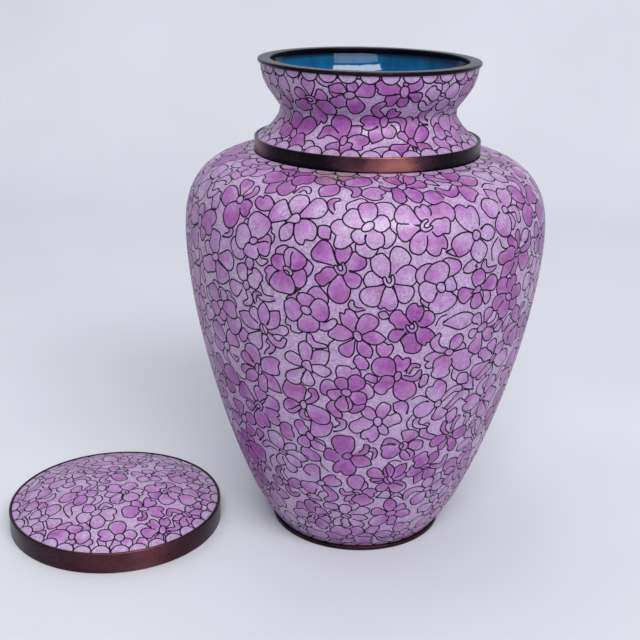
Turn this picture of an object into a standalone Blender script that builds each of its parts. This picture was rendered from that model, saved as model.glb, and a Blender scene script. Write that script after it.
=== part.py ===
"""Cloisonné jar with a loose lid, modelled in metres with +Z up.

The origin is on the jar's axis, at the level of the surface that jar and lid stand on.
Every piece is a turned solid, so each one is a section of (radius, height) points that
is swept round its own axis. The lid lies beside the jar, on its band.
"""

import math

import bpy

MM = 0.001

# Jar body: an enamelled copper shell
BELLY_RADIUS = 88.2 * MM
BELLY_HEIGHT = 160.1 * MM
SHOULDER_RISE = 36.5 * MM
SHOULDER_SEAT_WIDTH = 8.6 * MM
WALL = 2.0 * MM
FLOOR_THICKNESS = 2.4 * MM

# Pull of the body's curve at its ends: how far it runs on before it bends away
FOOT_PULL_OUT = 18.2 * MM
FOOT_PULL_UP = 21.1 * MM
BELLY_PULL_DOWN = 50.6 * MM
BELLY_PULL_UP = 25.0 * MM
SHOULDER_PULL_OUT = 20.9 * MM
SHOULDER_DROP = 2.5 * MM

# Foot ring
FOOT_RING_RADIUS = 44.7 * MM
FOOT_RING_HEIGHT = 2.1 * MM
FOOT_RING_WIDTH = 4.0 * MM
FOOT_RING_LIP = 1.3 * MM
BASE_RECESS = 1.5 * MM

# Collar band between body and neck
COLLAR_RADIUS = 54.6 * MM
COLLAR_BAND_HEIGHT = 6.7 * MM
COLLAR_LEDGE_WIDTH = 4.3 * MM
COLLAR_LEDGE_THICKNESS = 1.5 * MM
SHOULDER_MARGIN = 0.3 * MM

# Neck: heights here are counted from the top edge of the collar band
NECK_WAIST_RADIUS = 42.1 * MM
NECK_WAIST_HEIGHT = 13.5 * MM
NECK_HEIGHT = 34.5 * MM
NECK_EDGE_INSET = 0.4 * MM
NECK_FLARE_PULL_IN = 5.7 * MM
NECK_FLARE_PULL_UP = 3.6 * MM
WAIST_PULL_DOWN = 4.5 * MM
WAIST_PULL_UP = 2.7 * MM
MOUTH_PULL_DOWN = 10.7 * MM

# Mouth rim: a flat lip with a skirt inside the neck
MOUTH_RIM_RADIUS = 53.0 * MM
MOUTH_LIP_WIDTH = 5.9 * MM
MOUTH_RIM_THICKNESS = 1.6 * MM
MOUTH_RIM_OVERHANG = 1.1 * MM
MOUTH_SKIRT_DEPTH = 0.8 * MM

# Lid
LID_BAND_HEIGHT = 11.1 * MM
LID_DOME_RISE = 9.4 * MM
LID_EDGE_INSET = 0.3 * MM
LID_LEDGE_WIDTH = 2.2 * MM
LID_LEDGE_THICKNESS = 1.4 * MM
LID_SLIP = 0.7 * MM
LID_DISTANCE_FROM_FOOT = 28.5 * MM
LID_BEARING = math.radians(189.1)

# Copper work and fits
BAND_WALL = 1.3 * MM
EDGE_CHAMFER = 0.35 * MM
SEAM = 0.3 * MM

# Fineness of the turned surfaces
TURNING_STEPS = 52
SHARP_ANGLE = math.radians(30)
MERGE_DISTANCE = 0.00001

# Heights and radii that follow from the sizes above
FOOT_RADIUS = FOOT_RING_RADIUS - FOOT_RING_LIP
SHOULDER_HEIGHT = BELLY_HEIGHT + SHOULDER_RISE
SHOULDER_OPENING_RADIUS = COLLAR_RADIUS - SHOULDER_SEAT_WIDTH
COLLAR_BOTTOM = SHOULDER_HEIGHT + SEAM
COLLAR_TOP = COLLAR_BOTTOM + COLLAR_BAND_HEIGHT
COLLAR_INNER_RADIUS = COLLAR_RADIUS - BAND_WALL
NECK_FLANGE_RADIUS = COLLAR_INNER_RADIUS - SEAM
NECK_BOTTOM = COLLAR_BOTTOM + COLLAR_LEDGE_THICKNESS + SEAM
NECK_TOP = COLLAR_TOP + NECK_HEIGHT
NECK_TOP_RADIUS = MOUTH_RIM_RADIUS - MOUTH_RIM_OVERHANG
MOUTH_OPENING_RADIUS = MOUTH_RIM_RADIUS - MOUTH_LIP_WIDTH
RIM_UNDERSIDE = NECK_TOP + SEAM
RIM_TOP = RIM_UNDERSIDE + MOUTH_RIM_THICKNESS
LID_INNER_RADIUS = MOUTH_RIM_RADIUS + LID_SLIP
LID_RADIUS = LID_INNER_RADIUS + BAND_WALL
LID_DOME_RADIUS = LID_INNER_RADIUS - SEAM
LID_DISTANCE = FOOT_RING_RADIUS + LID_DISTANCE_FROM_FOOT + LID_RADIUS


def bezier(start, start_pull, end_pull, end, segments):
    """Points along a cubic curve from start to end, both included."""
    points = []
    for index in range(segments + 1):
        t = index / segments
        weights = ((1 - t) ** 3, 3 * (1 - t) ** 2 * t, 3 * (1 - t) * t**2, t**3)
        corners = (start, start_pull, end_pull, end)
        radius = sum(weight * corner[0] for weight, corner in zip(weights, corners))
        height = sum(weight * corner[1] for weight, corner in zip(weights, corners))
        points.append((radius, height))
    return points


def inward_offset(points, distance):
    """The parallel of an outer surface that is listed from bottom to top, on its inner side."""
    moved = []
    for index, (radius, height) in enumerate(points):
        before = points[max(index - 1, 0)]
        after = points[min(index + 1, len(points) - 1)]
        along_radius = after[0] - before[0]
        along_height = after[1] - before[1]
        length = math.hypot(along_radius, along_height)
        moved.append(
            (
                radius - distance * along_height / length,
                height + distance * along_radius / length,
            )
        )
    return moved


def crossing(first, second, axis, limit):
    """The point between two points where one of their coordinates has the value limit."""
    share = (limit - first[axis]) / (second[axis] - first[axis])
    return tuple(a + share * (b - a) for a, b in zip(first, second))


def start_below(points, radius_limit):
    """Drops the first points that lie outside a radius, so that the list starts on it."""
    kept = 0
    while points[kept][0] > radius_limit:
        kept += 1
    if kept == 0:
        return points
    return [crossing(points[kept - 1], points[kept], 0, radius_limit)] + points[kept:]


def start_above(points, height_limit):
    """Drops the first points that lie under a height, so that the list starts on it."""
    kept = 0
    while points[kept][1] < height_limit:
        kept += 1
    if kept == 0:
        return [(points[0][0], height_limit)] + points
    return [crossing(points[kept - 1], points[kept], 1, height_limit)] + points[kept:]


def radius_at(points, height):
    """The radius of a rising outline at a height, read along its uppermost stretch."""
    for lower, upper in zip(reversed(points[:-1]), reversed(points[1:])):
        if lower[1] <= height <= upper[1]:
            return crossing(lower, upper, 1, height)[0]
    return points[-1][0]


def body_outline():
    """The outer surface of the body, from the foot up to the collar's seat."""
    foot = (FOOT_RADIUS, FOOT_RING_HEIGHT + SEAM)
    belly = (BELLY_RADIUS, BELLY_HEIGHT)
    seat = (COLLAR_RADIUS + SHOULDER_MARGIN, SHOULDER_HEIGHT)
    lower = bezier(
        foot,
        (foot[0] + FOOT_PULL_OUT, foot[1] + FOOT_PULL_UP),
        (belly[0], belly[1] - BELLY_PULL_DOWN),
        belly,
        segments=8,
    )
    upper = bezier(
        belly,
        (belly[0], belly[1] + BELLY_PULL_UP),
        (seat[0] + SHOULDER_PULL_OUT, seat[1] - SHOULDER_DROP),
        seat,
        segments=6,
    )
    return lower + upper[1:]


def neck_outline():
    """The outer surface of the neck, from its lower flange up to the mouth."""
    flange = (NECK_FLANGE_RADIUS, COLLAR_TOP - NECK_EDGE_INSET)
    waist = (NECK_WAIST_RADIUS, COLLAR_TOP + NECK_WAIST_HEIGHT)
    mouth = (NECK_TOP_RADIUS, NECK_TOP)
    flare = bezier(
        flange,
        (flange[0] - NECK_FLARE_PULL_IN, flange[1] + NECK_FLARE_PULL_UP),
        (waist[0], waist[1] - WAIST_PULL_DOWN),
        waist,
        segments=4,
    )
    throat = bezier(
        waist,
        (waist[0], waist[1] + WAIST_PULL_UP),
        (mouth[0], mouth[1] - MOUTH_PULL_DOWN),
        mouth,
        segments=4,
    )
    return flare + throat[1:]


def body_section():
    """The body's shell with its floor, cut from its axis to its outer side."""
    outer = body_outline()
    floor = BASE_RECESS + FLOOR_THICKNESS
    inner = start_above(inward_offset(outer, WALL), floor)
    boss_radius = FOOT_RING_RADIUS - FOOT_RING_WIDTH - SEAM
    opening = [
        (SHOULDER_OPENING_RADIUS, SHOULDER_HEIGHT - WALL),
        (SHOULDER_OPENING_RADIUS, SHOULDER_HEIGHT),
    ]
    base = [
        (boss_radius, FOOT_RING_HEIGHT + SEAM),
        (boss_radius, BASE_RECESS),
        (0.0, BASE_RECESS),
    ]
    return [(0.0, floor)] + inner + opening + outer[::-1] + base


def neck_section():
    """The neck's shell, with its lower edge turned down inside the collar band."""
    outer = neck_outline()
    turned_edge = NECK_FLANGE_RADIUS - WALL
    inner = start_below(inward_offset(outer, WALL), turned_edge)
    inner[-1] = (inner[-1][0], NECK_TOP)
    return (
        [(turned_edge, NECK_BOTTOM)]
        + inner
        + outer[::-1]
        + [(NECK_FLANGE_RADIUS, NECK_BOTTOM)]
    )


def foot_ring_section():
    """A flat ring with its lower outer edge broken."""
    inner = FOOT_RING_RADIUS - FOOT_RING_WIDTH
    return [
        (inner, FOOT_RING_HEIGHT),
        (FOOT_RING_RADIUS, FOOT_RING_HEIGHT),
        (FOOT_RING_RADIUS, EDGE_CHAMFER),
        (FOOT_RING_RADIUS - EDGE_CHAMFER, 0.0),
        (inner, 0.0),
    ]


def hoop_section(radius, bottom, top, ledge_width, ledge_bottom, ledge_thickness):
    """A hoop with broken outer edges and a ledge inside it."""
    inner = radius - BAND_WALL
    ledge = inner - ledge_width
    hoop = [
        (inner, top),
        (radius - EDGE_CHAMFER, top),
        (radius, top - EDGE_CHAMFER),
        (radius, bottom + EDGE_CHAMFER),
        (radius - EDGE_CHAMFER, bottom),
    ]
    if ledge_bottom > bottom:
        hoop += [(inner, bottom), (inner, ledge_bottom)]
    shelf = [
        (ledge, ledge_bottom),
        (ledge, ledge_bottom + ledge_thickness),
        (inner, ledge_bottom + ledge_thickness),
    ]
    return hoop + shelf


def mouth_rim_section():
    """A flat lip over the neck's edge, and a skirt that hangs inside the neck."""
    skirt_bottom = RIM_UNDERSIDE - MOUTH_SKIRT_DEPTH
    neck_inside = inward_offset(neck_outline(), WALL)
    skirt_radius = min(radius_at(neck_inside, skirt_bottom), neck_inside[-1][0]) - SEAM
    return [
        (MOUTH_OPENING_RADIUS, RIM_TOP - EDGE_CHAMFER),
        (MOUTH_OPENING_RADIUS + EDGE_CHAMFER, RIM_TOP),
        (MOUTH_RIM_RADIUS - EDGE_CHAMFER, RIM_TOP),
        (MOUTH_RIM_RADIUS, RIM_TOP - EDGE_CHAMFER),
        (MOUTH_RIM_RADIUS, RIM_UNDERSIDE),
        (skirt_radius, RIM_UNDERSIDE),
        (skirt_radius, skirt_bottom),
        (MOUTH_OPENING_RADIUS, skirt_bottom),
    ]


def dome_arc(ball_radius, centre_height, edge_radius, segments):
    """Points from the dome's top down to its edge, along a ball of the given radius."""
    reach = math.asin(edge_radius / ball_radius)
    points = []
    for index in range(segments + 1):
        angle = reach * index / segments
        points.append(
            (ball_radius * math.sin(angle), centre_height + ball_radius * math.cos(angle))
        )
    points[0] = (0.0, centre_height + ball_radius)
    return points


def lid_dome_shape():
    """The radius of the dome's outer ball and the height of its centre."""
    ball = (LID_DOME_RADIUS**2 + LID_DOME_RISE**2) / (2 * LID_DOME_RISE)
    top = LID_BAND_HEIGHT - LID_EDGE_INSET + LID_DOME_RISE
    return ball, top - ball


def lid_dome_section():
    """A thin dome, cut from its axis to its edge."""
    ball, centre = lid_dome_shape()
    outer = dome_arc(ball, centre, LID_DOME_RADIUS, segments=5)
    inner = dome_arc(ball - WALL, centre, LID_DOME_RADIUS, segments=4)
    return outer + inner[::-1]


def lid_ledge_bottom():
    """The underside of the ledge that carries the dome's edge."""
    ball, centre = lid_dome_shape()
    dome_underside = centre + math.sqrt((ball - WALL) ** 2 - LID_DOME_RADIUS**2)
    return dome_underside - SEAM - LID_LEDGE_THICKNESS


def finish(name, colour, roughness, metallic):
    """A plain material in linear colour."""
    material = bpy.data.materials.new(name)
    material.use_nodes = True
    shader = material.node_tree.nodes["Principled BSDF"]
    shader.inputs["Base Color"].default_value = (*colour, 1.0)
    shader.inputs["Roughness"].default_value = roughness
    shader.inputs["Metallic"].default_value = metallic
    material.diffuse_color = (*colour, 1.0)
    return material


def turned_piece(name, section, material, collection, parent, closed):
    """Sweeps a section round the Z axis and shades it smooth between its edges."""
    profile = bpy.data.meshes.new(name + "_section")
    edges = [(index, index + 1) for index in range(len(section) - 1)]
    if closed:
        edges.append((len(section) - 1, 0))
    profile.from_pydata([(radius, 0.0, height) for radius, height in section], edges, [])
    piece = bpy.data.objects.new(name, profile)
    collection.objects.link(piece)
    piece.parent = parent

    turning = piece.modifiers.new("turning", "SCREW")
    turning.axis = "Z"
    turning.angle = math.tau
    turning.steps = TURNING_STEPS
    turning.render_steps = TURNING_STEPS
    turning.use_merge_vertices = True
    turning.merge_threshold = MERGE_DISTANCE

    graph = bpy.context.evaluated_depsgraph_get()
    solid = bpy.data.meshes.new_from_object(piece.evaluated_get(graph))
    piece.modifiers.clear()
    piece.data = solid
    bpy.data.meshes.remove(profile)
    solid.name = name
    solid.shade_smooth()
    solid.set_sharp_from_angle(angle=SHARP_ANGLE)
    solid.materials.append(material)
    return piece


def clear_scene():
    """Removes what the file holds when it is opened."""
    for item in list(bpy.data.objects):
        bpy.data.objects.remove(item)
    for mesh in list(bpy.data.meshes):
        bpy.data.meshes.remove(mesh)


def main():
    """Builds the jar and, beside it, its lid."""
    clear_scene()
    bpy.context.scene.unit_settings.system = "METRIC"
    collection = bpy.data.collections.new("cloisonne_jar")
    bpy.context.scene.collection.children.link(collection)

    enamel = finish("lilac_enamel", (0.55, 0.33, 0.62), roughness=0.15, metallic=0.0)
    copper = finish("dark_copper", (0.055, 0.024, 0.028), roughness=0.35, metallic=1.0)

    jar = bpy.data.objects.new("jar_axis", None)
    lid = bpy.data.objects.new("lid_axis", None)
    lid.location = (
        LID_DISTANCE * math.cos(LID_BEARING),
        LID_DISTANCE * math.sin(LID_BEARING),
        0.0,
    )
    collection.objects.link(jar)
    collection.objects.link(lid)

    collar = hoop_section(
        COLLAR_RADIUS,
        COLLAR_BOTTOM,
        COLLAR_TOP,
        COLLAR_LEDGE_WIDTH,
        COLLAR_BOTTOM,
        COLLAR_LEDGE_THICKNESS,
    )
    lid_band = hoop_section(
        LID_RADIUS,
        0.0,
        LID_BAND_HEIGHT,
        LID_LEDGE_WIDTH,
        lid_ledge_bottom(),
        LID_LEDGE_THICKNESS,
    )
    turned_piece("jar_body", body_section(), enamel, collection, jar, closed=False)
    turned_piece("foot_ring", foot_ring_section(), copper, collection, jar, closed=True)
    turned_piece("collar_band", collar, copper, collection, jar, closed=True)
    turned_piece("neck", neck_section(), enamel, collection, jar, closed=True)
    turned_piece("mouth_rim", mouth_rim_section(), copper, collection, jar, closed=True)
    turned_piece("lid_dome", lid_dome_section(), enamel, collection, lid, closed=False)
    turned_piece("lid_band", lid_band, copper, collection, lid, closed=True)


if __name__ == "__main__":
    main()
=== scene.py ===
"""Cloisonne lidded jar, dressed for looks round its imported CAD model.

The jar stands open with its lid beside it. Every turned wall is read from the CAD frame and rebuilt as a
fine closed mesh whose outside carries the flower pattern: enamel cells between thin copper wires, all flush,
as on the real thing. The copper hoops are rebuilt with rounded edges. Distances inside the drawing code are
in millimetres.
"""

import logging
import math
from dataclasses import dataclass, field
from enum import Enum

import bpy
import numpy as np
from mathutils import Matrix, Vector, geometry, kdtree

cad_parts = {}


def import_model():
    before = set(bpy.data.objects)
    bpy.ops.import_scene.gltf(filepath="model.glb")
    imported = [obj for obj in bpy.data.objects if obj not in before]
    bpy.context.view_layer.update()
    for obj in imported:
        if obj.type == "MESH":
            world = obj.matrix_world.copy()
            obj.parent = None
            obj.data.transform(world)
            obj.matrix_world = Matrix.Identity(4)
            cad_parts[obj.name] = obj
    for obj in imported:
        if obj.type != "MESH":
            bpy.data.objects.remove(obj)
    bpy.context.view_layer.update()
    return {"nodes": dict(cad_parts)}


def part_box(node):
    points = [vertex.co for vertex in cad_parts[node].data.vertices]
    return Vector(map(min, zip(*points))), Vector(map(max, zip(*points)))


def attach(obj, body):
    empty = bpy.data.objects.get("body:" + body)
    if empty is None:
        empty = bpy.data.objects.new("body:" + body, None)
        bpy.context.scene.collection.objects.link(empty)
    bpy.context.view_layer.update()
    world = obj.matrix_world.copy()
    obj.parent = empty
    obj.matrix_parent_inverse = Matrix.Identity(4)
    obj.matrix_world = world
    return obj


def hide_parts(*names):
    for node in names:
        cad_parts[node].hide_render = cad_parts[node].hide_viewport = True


MM = 0.001
PER_MM = 1000.0
TINY = 1e-9
SLACK = 1e-6
ON_AXIS = 0.01
FAR_OFF = 99.0
Array = np.ndarray
Spot = tuple[float, float]
Colour = tuple[float, float, float, float]
Ring = tuple[Array, Array]

log = logging.getLogger("jar")


def linear(code: str) -> Colour:
    """Turns an sRGB hex value into the linear colour that shaders use.

    Args:
        code: The colour as "#RRGGBB".

    Returns:
        Red, green, blue and alpha, linear.
    """
    parts = [int(code[i : i + 2], 16) / 255 for i in (1, 3, 5)]
    return tuple(p / 12.92 if p <= 0.04045 else ((p + 0.055) / 1.055) ** 2.4 for p in parts) + (1.0,)


def placed(name: str, data: bpy.types.ID) -> bpy.types.Object:
    """Makes an object of some data and puts it in the scene.

    Args:
        name: Its name.
        data: Its mesh, light or camera.

    Returns:
        The object.
    """
    made = bpy.data.objects.new(name, data)
    bpy.context.scene.collection.objects.link(made)
    return made


def smooth_mesh(name: str, points: Array, faces: list) -> bpy.types.Mesh:
    """Makes a smooth-shaded mesh.

    Args:
        name: Its name.
        points: Its vertices in metres.
        faces: The vertex numbers of each face.

    Returns:
        The mesh.
    """
    mesh = bpy.data.meshes.new(name)
    mesh.from_pydata(points, [], faces)
    mesh.polygons.foreach_set("use_smooth", np.ones(len(faces), bool))
    return mesh


# Curves and outlines


def walked(line: Array) -> Array:
    """Gives how far along a line each of its points lies."""
    return np.concatenate([[0], np.cumsum(np.hypot(*np.diff(line, axis=0).T))])


def natural_spline(knots: Array, values: Array, at: Array) -> Array:
    """Evaluates the natural cubic that passes through some values.

    Args:
        knots: Where the values stand, rising.
        values: One value for each knot.
        at: Where the curve is wanted.

    Returns:
        The curve's value at each place.
    """
    gap = np.diff(knots)
    slope = np.diff(values) / gap
    matrix = np.eye(len(knots))
    right = np.zeros(len(knots))
    for i in range(1, len(knots) - 1):
        matrix[i, i - 1 : i + 2] = gap[i - 1], 2 * (gap[i - 1] + gap[i]), gap[i]
        right[i] = 6 * (slope[i] - slope[i - 1])
    bend = np.linalg.solve(matrix, right)
    span = np.clip(np.searchsorted(knots, at) - 1, 0, len(knots) - 2)
    near = (knots[span + 1] - at) / gap[span]
    far = (at - knots[span]) / gap[span]
    curve = (near**3 - near) * bend[span] + (far**3 - far) * bend[span + 1]
    return near * values[span] + far * values[span + 1] + gap[span] ** 2 / 6 * curve


def curve_through(points: Array, corners: tuple[int, ...], steps: int = 6) -> Array:
    """Bends an even line through points as a springy wire would, sharp at some of them.

    Args:
        points: The places it passes, in order.
        corners: Which of the points stay sharp.
        steps: How many samples each stretch gets.

    Returns:
        The line's samples in order.
    """
    stops = sorted({0, len(points) - 1, *corners})
    line = [points[:1]]
    for first, last in zip(stops, stops[1:]):
        run = points[first : last + 1]
        chord = walked(run)
        at = np.linspace(0, chord[-1], steps * (len(run) - 1) + 1)[1:]
        line.append(np.stack([natural_spline(chord, run[:, i], at) for i in (0, 1)], 1))
    return np.vstack(line)


def simplified(line: Array, tolerance: float) -> Array:
    """Leaves out the points of a line that hardly change it.

    Args:
        line: The points in order.
        tolerance: How far, in millimetres, a point left out may lie from the line.

    Returns:
        The points that stay.
    """
    keep = {0, len(line) - 1}
    work = [(0, len(line) - 1)]
    while work:
        first, last = work.pop()
        if last - first < 2:
            continue
        chord = line[last] - line[first]
        rest = line[first + 1 : last] - line[first]
        length = math.hypot(*chord)
        if length < TINY:
            away = np.hypot(rest[:, 0], rest[:, 1])
        else:
            away = np.abs(rest[:, 0] * chord[1] - rest[:, 1] * chord[0]) / length
        far = int(away.argmax())
        if away[far] > tolerance:
            middle = first + 1 + far
            keep.add(middle)
            work += [(first, middle), (middle, last)]
    return line[sorted(keep)]


SHARPEST_BEND = 0.55
FLARE_LENGTH = 2.2
BLUNTNESS = 0.8


def offsets_of(line: Array, closed: bool) -> Array:
    """Gives the direction in which each point of a line moves when the line is made wider.

    Args:
        line: The points in order.
        closed: Whether the last point joins the first.

    Returns:
        One vector for each point, longer at bends so that the width stays even.
    """
    step = np.roll(line, -1, axis=0) - line
    if not closed:
        step[-1] = step[-2]
    step /= np.maximum(np.hypot(step[:, 0], step[:, 1]), TINY)[:, None]
    before = np.roll(step, 1, axis=0)
    if not closed:
        before[0] = step[0]
    both = step + before
    both /= np.maximum(np.hypot(both[:, 0], both[:, 1]), TINY)[:, None]
    stretch = np.clip((both * step).sum(1), SHARPEST_BEND, 1)
    return np.stack([both[:, 1], -both[:, 0]], 1) / stretch[:, None]


def ribbon(line: Array, width: float, flare: Spot = (1.0, 1.0)) -> Array:
    """Gives the outline of a wire laid along an open line.

    Args:
        line: The wire's middle.
        width: How wide the wire shows.
        flare: How many times wider it shows at its start and its end, where it runs beside another.

    Returns:
        A closed outline with blunt rounded ends.
    """
    along = walked(line)
    first, last = (np.clip(1 - away / FLARE_LENGTH, 0, 1) for away in (along, along[-1] - along))
    half = width / 2 * (1 + (flare[0] - 1) * first + (flare[1] - 1) * last)
    side = offsets_of(line, closed=False) * half[:, None]
    tip, tail = line[-1] - line[-2], line[0] - line[1]
    tip = line[-1] + tip / max(math.hypot(*tip), TINY) * half[-1] * BLUNTNESS
    tail = line[0] + tail / max(math.hypot(*tail), TINY) * half[0] * BLUNTNESS
    return np.vstack([line + side, tip, (line - side)[::-1], tail])


def ellipse(across: float, along: float, steps: int, wobble: float = 0.0) -> Array:
    """Gives the points of an ellipse about the origin.

    Args:
        across: Half its size along X.
        along: Half its size along Y.
        steps: How many points it gets.
        wobble: How uneven it is, as a share.

    Returns:
        The points in order.
    """
    turn = np.arange(steps) * math.tau / steps
    uneven = 1 + wobble * np.sin(2 * turn + 1) + wobble * np.cos(3 * turn)
    return np.stack([across * np.cos(turn) * uneven, along * np.sin(turn) * uneven], 1)


def turned(points: Array, angle: float) -> Array:
    """Turns points about the origin."""
    c, s = math.cos(angle), math.sin(angle)
    return points @ np.array([[c, s], [-s, c]])


def within(points: Array, outline: Array) -> Array:
    """Says which points a closed outline goes round, also where it crosses itself.

    Args:
        points: The points to test.
        outline: The outline's points in order.

    Returns:
        True for each point inside.
    """
    end = np.roll(outline, -1, axis=0)
    x, y = points[:, :1], points[:, 1:]
    rise = end - outline
    side = rise[:, 0] * (y - outline[:, 1]) - (x - outline[:, 0]) * rise[:, 1]
    up = (outline[:, 1] <= y) & (end[:, 1] > y) & (side > 0)
    down = (outline[:, 1] > y) & (end[:, 1] <= y) & (side < 0)
    return up.sum(1) != down.sum(1)


# Turned walls read from the CAD


# Within what two angles, in radians, and two heights or radii, in millimetres, count as the same
SAME_ANGLE = 0.01
SAME_HEIGHT = 0.01
SAME_REACH = 0.05


@dataclass
class Section:
    """The half section of a turned CAD node: its rings, and which of them are the patterned outside."""

    rings: Array
    first: int
    last: int
    closed: bool
    centre: Spot

    @classmethod
    def of(cls, node: bpy.types.Object, start_height: float) -> "Section":
        """Reads the rings of a node along one meridian.

        Args:
            node: The turned CAD node.
            start_height: The height, in millimetres, above which its outside is patterned.

        Returns:
            The section in millimetres, ordered so that its outside runs upwards.
        """
        low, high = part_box(node.name)
        centre = (low + high) / 2
        spots = np.array([v.co for v in node.data.vertices], float).reshape(-1, 3)
        spots -= (centre.x, centre.y, 0)
        spots, same = np.unique(np.round(spots / MM, 3), axis=0, return_inverse=True)
        radius = np.hypot(spots[:, 0], spots[:, 1])
        angle = np.arctan2(spots[:, 1], spots[:, 0])
        chosen = angle[radius > 1][np.abs(angle[radius > 1]).argmin()]
        here = (np.abs(angle - chosen) < SAME_ANGLE) | (radius < ON_AXIS)
        joins: dict[int, set[int]] = {}
        for edge in node.data.edges:
            a, b = (int(same.reshape(-1)[v]) for v in edge.vertices)
            if a != b and here[a] and here[b]:
                joins.setdefault(a, set()).add(b)
                joins.setdefault(b, set()).add(a)
        ends = sorted(k for k, v in joins.items() if len(v) == 1)
        path = [ends[0] if ends else min(joins)]
        while True:
            onward = sorted(joins[path[-1]] - set(path))
            if not onward:
                break
            path.append(onward[0])
        rings = np.stack([radius[path], spots[path, 2]], 1)
        outer = cls.outside(rings, not ends) & (rings[:, 1] > start_height)
        if not ends:
            shift = next(i for i in range(len(rings)) if outer[i] and not outer[i - 1])
            rings, outer = np.roll(rings, -shift, axis=0), np.roll(outer, -shift)
        run = np.flatnonzero(outer)
        first, last = int(run[0]), int(run[-1])
        if rings[first, 1] > rings[last, 1]:
            rings = rings[::-1]
            first, last = len(rings) - 1 - last, len(rings) - 1 - first
        return cls(rings, first, last, not ends, (centre.x, centre.y))

    @staticmethod
    def outside(rings: Array, closed: bool) -> Array:
        """Says which rings have nothing of the section further out at their own height.

        Args:
            rings: Radius and height of each ring, in order.
            closed: Whether the last ring joins the first.

        Returns:
            True for each ring that lies outermost.
        """
        pairs = list(zip(rings, rings[1:])) + ([(rings[-1], rings[0])] if closed else [])
        found = []
        for radius, height in rings:
            across = [(a, b) for a, b in pairs if (a[1] - height) * (b[1] - height) < 0]
            reach = [a[0] + (b[0] - a[0]) * (height - a[1]) / (b[1] - a[1]) for a, b in across]
            level = [r for r, z in rings if abs(z - height) < SAME_HEIGHT]
            found.append(radius > max(reach + level) - SAME_REACH)
        return np.array(found)

    def outer(self) -> Array:
        """The patterned outside's rings, from the lowest up."""
        return self.rings[self.first : self.last + 1]

    def after(self) -> Array:
        """Gives the rings that follow the outside.

        Returns:
            Radius and height of each, with the point on the axis if the section ends there.
        """
        rest = self.rings[self.last + 1 :]
        if self.closed:
            return np.vstack([rest, self.rings[: self.first]])
        if len(rest) and rest[-1, 0] > ON_AXIS:
            rest = np.vstack([rest, (0, rest[-1, 1])])
        return rest

    def before(self) -> Array:
        """Gives the rings ahead of the outside.

        Returns:
            Radius and height of each, starting from the point on the axis.
        """
        rest = self.rings[: self.first]
        if self.closed:
            return rest[:0]
        if len(rest) and rest[0, 0] > ON_AXIS:
            rest = np.vstack([(0, rest[0, 1]), rest])
        return rest


class Meridian:
    """The smooth outside of a turned wall, measured along its arc in millimetres from its lowest ring."""

    def __init__(self, rings: Array, step: float = 0.2) -> None:
        """Fits the curve.

        Args:
            rings: Radius and height of each ring, from the lowest up. A last radius of 0 is an apex.
            step: How far apart the samples lie.
        """
        dome = rings[-1, 0] < ON_AXIS
        if dome:
            rings = np.vstack([rings, (rings[-2::-1] * (-1, 1))])
        chord = walked(rings)
        end = chord[-1] / 2 if dome else chord[-1]
        at = np.linspace(0, end, int(end / step) + 2)
        self.radius = natural_spline(chord, rings[:, 0], at)
        self.height = natural_spline(chord, rings[:, 1], at)
        self.arc = walked(np.stack([self.radius, self.height], 1))
        rise, out = np.gradient(self.height, self.arc), np.gradient(self.radius, self.arc)
        length = np.hypot(rise, out)
        self.normal_out, self.normal_up = rise / length, -out / length
        self.length = float(self.arc[-1])

    def at(self, arc: Array) -> tuple[Array, Array, Array, Array]:
        """Radius, height, and the normal's outward and upward parts at some arcs."""
        sides = (self.radius, self.height, self.normal_out, self.normal_up)
        return tuple(np.interp(arc, self.arc, side) for side in sides)


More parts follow.
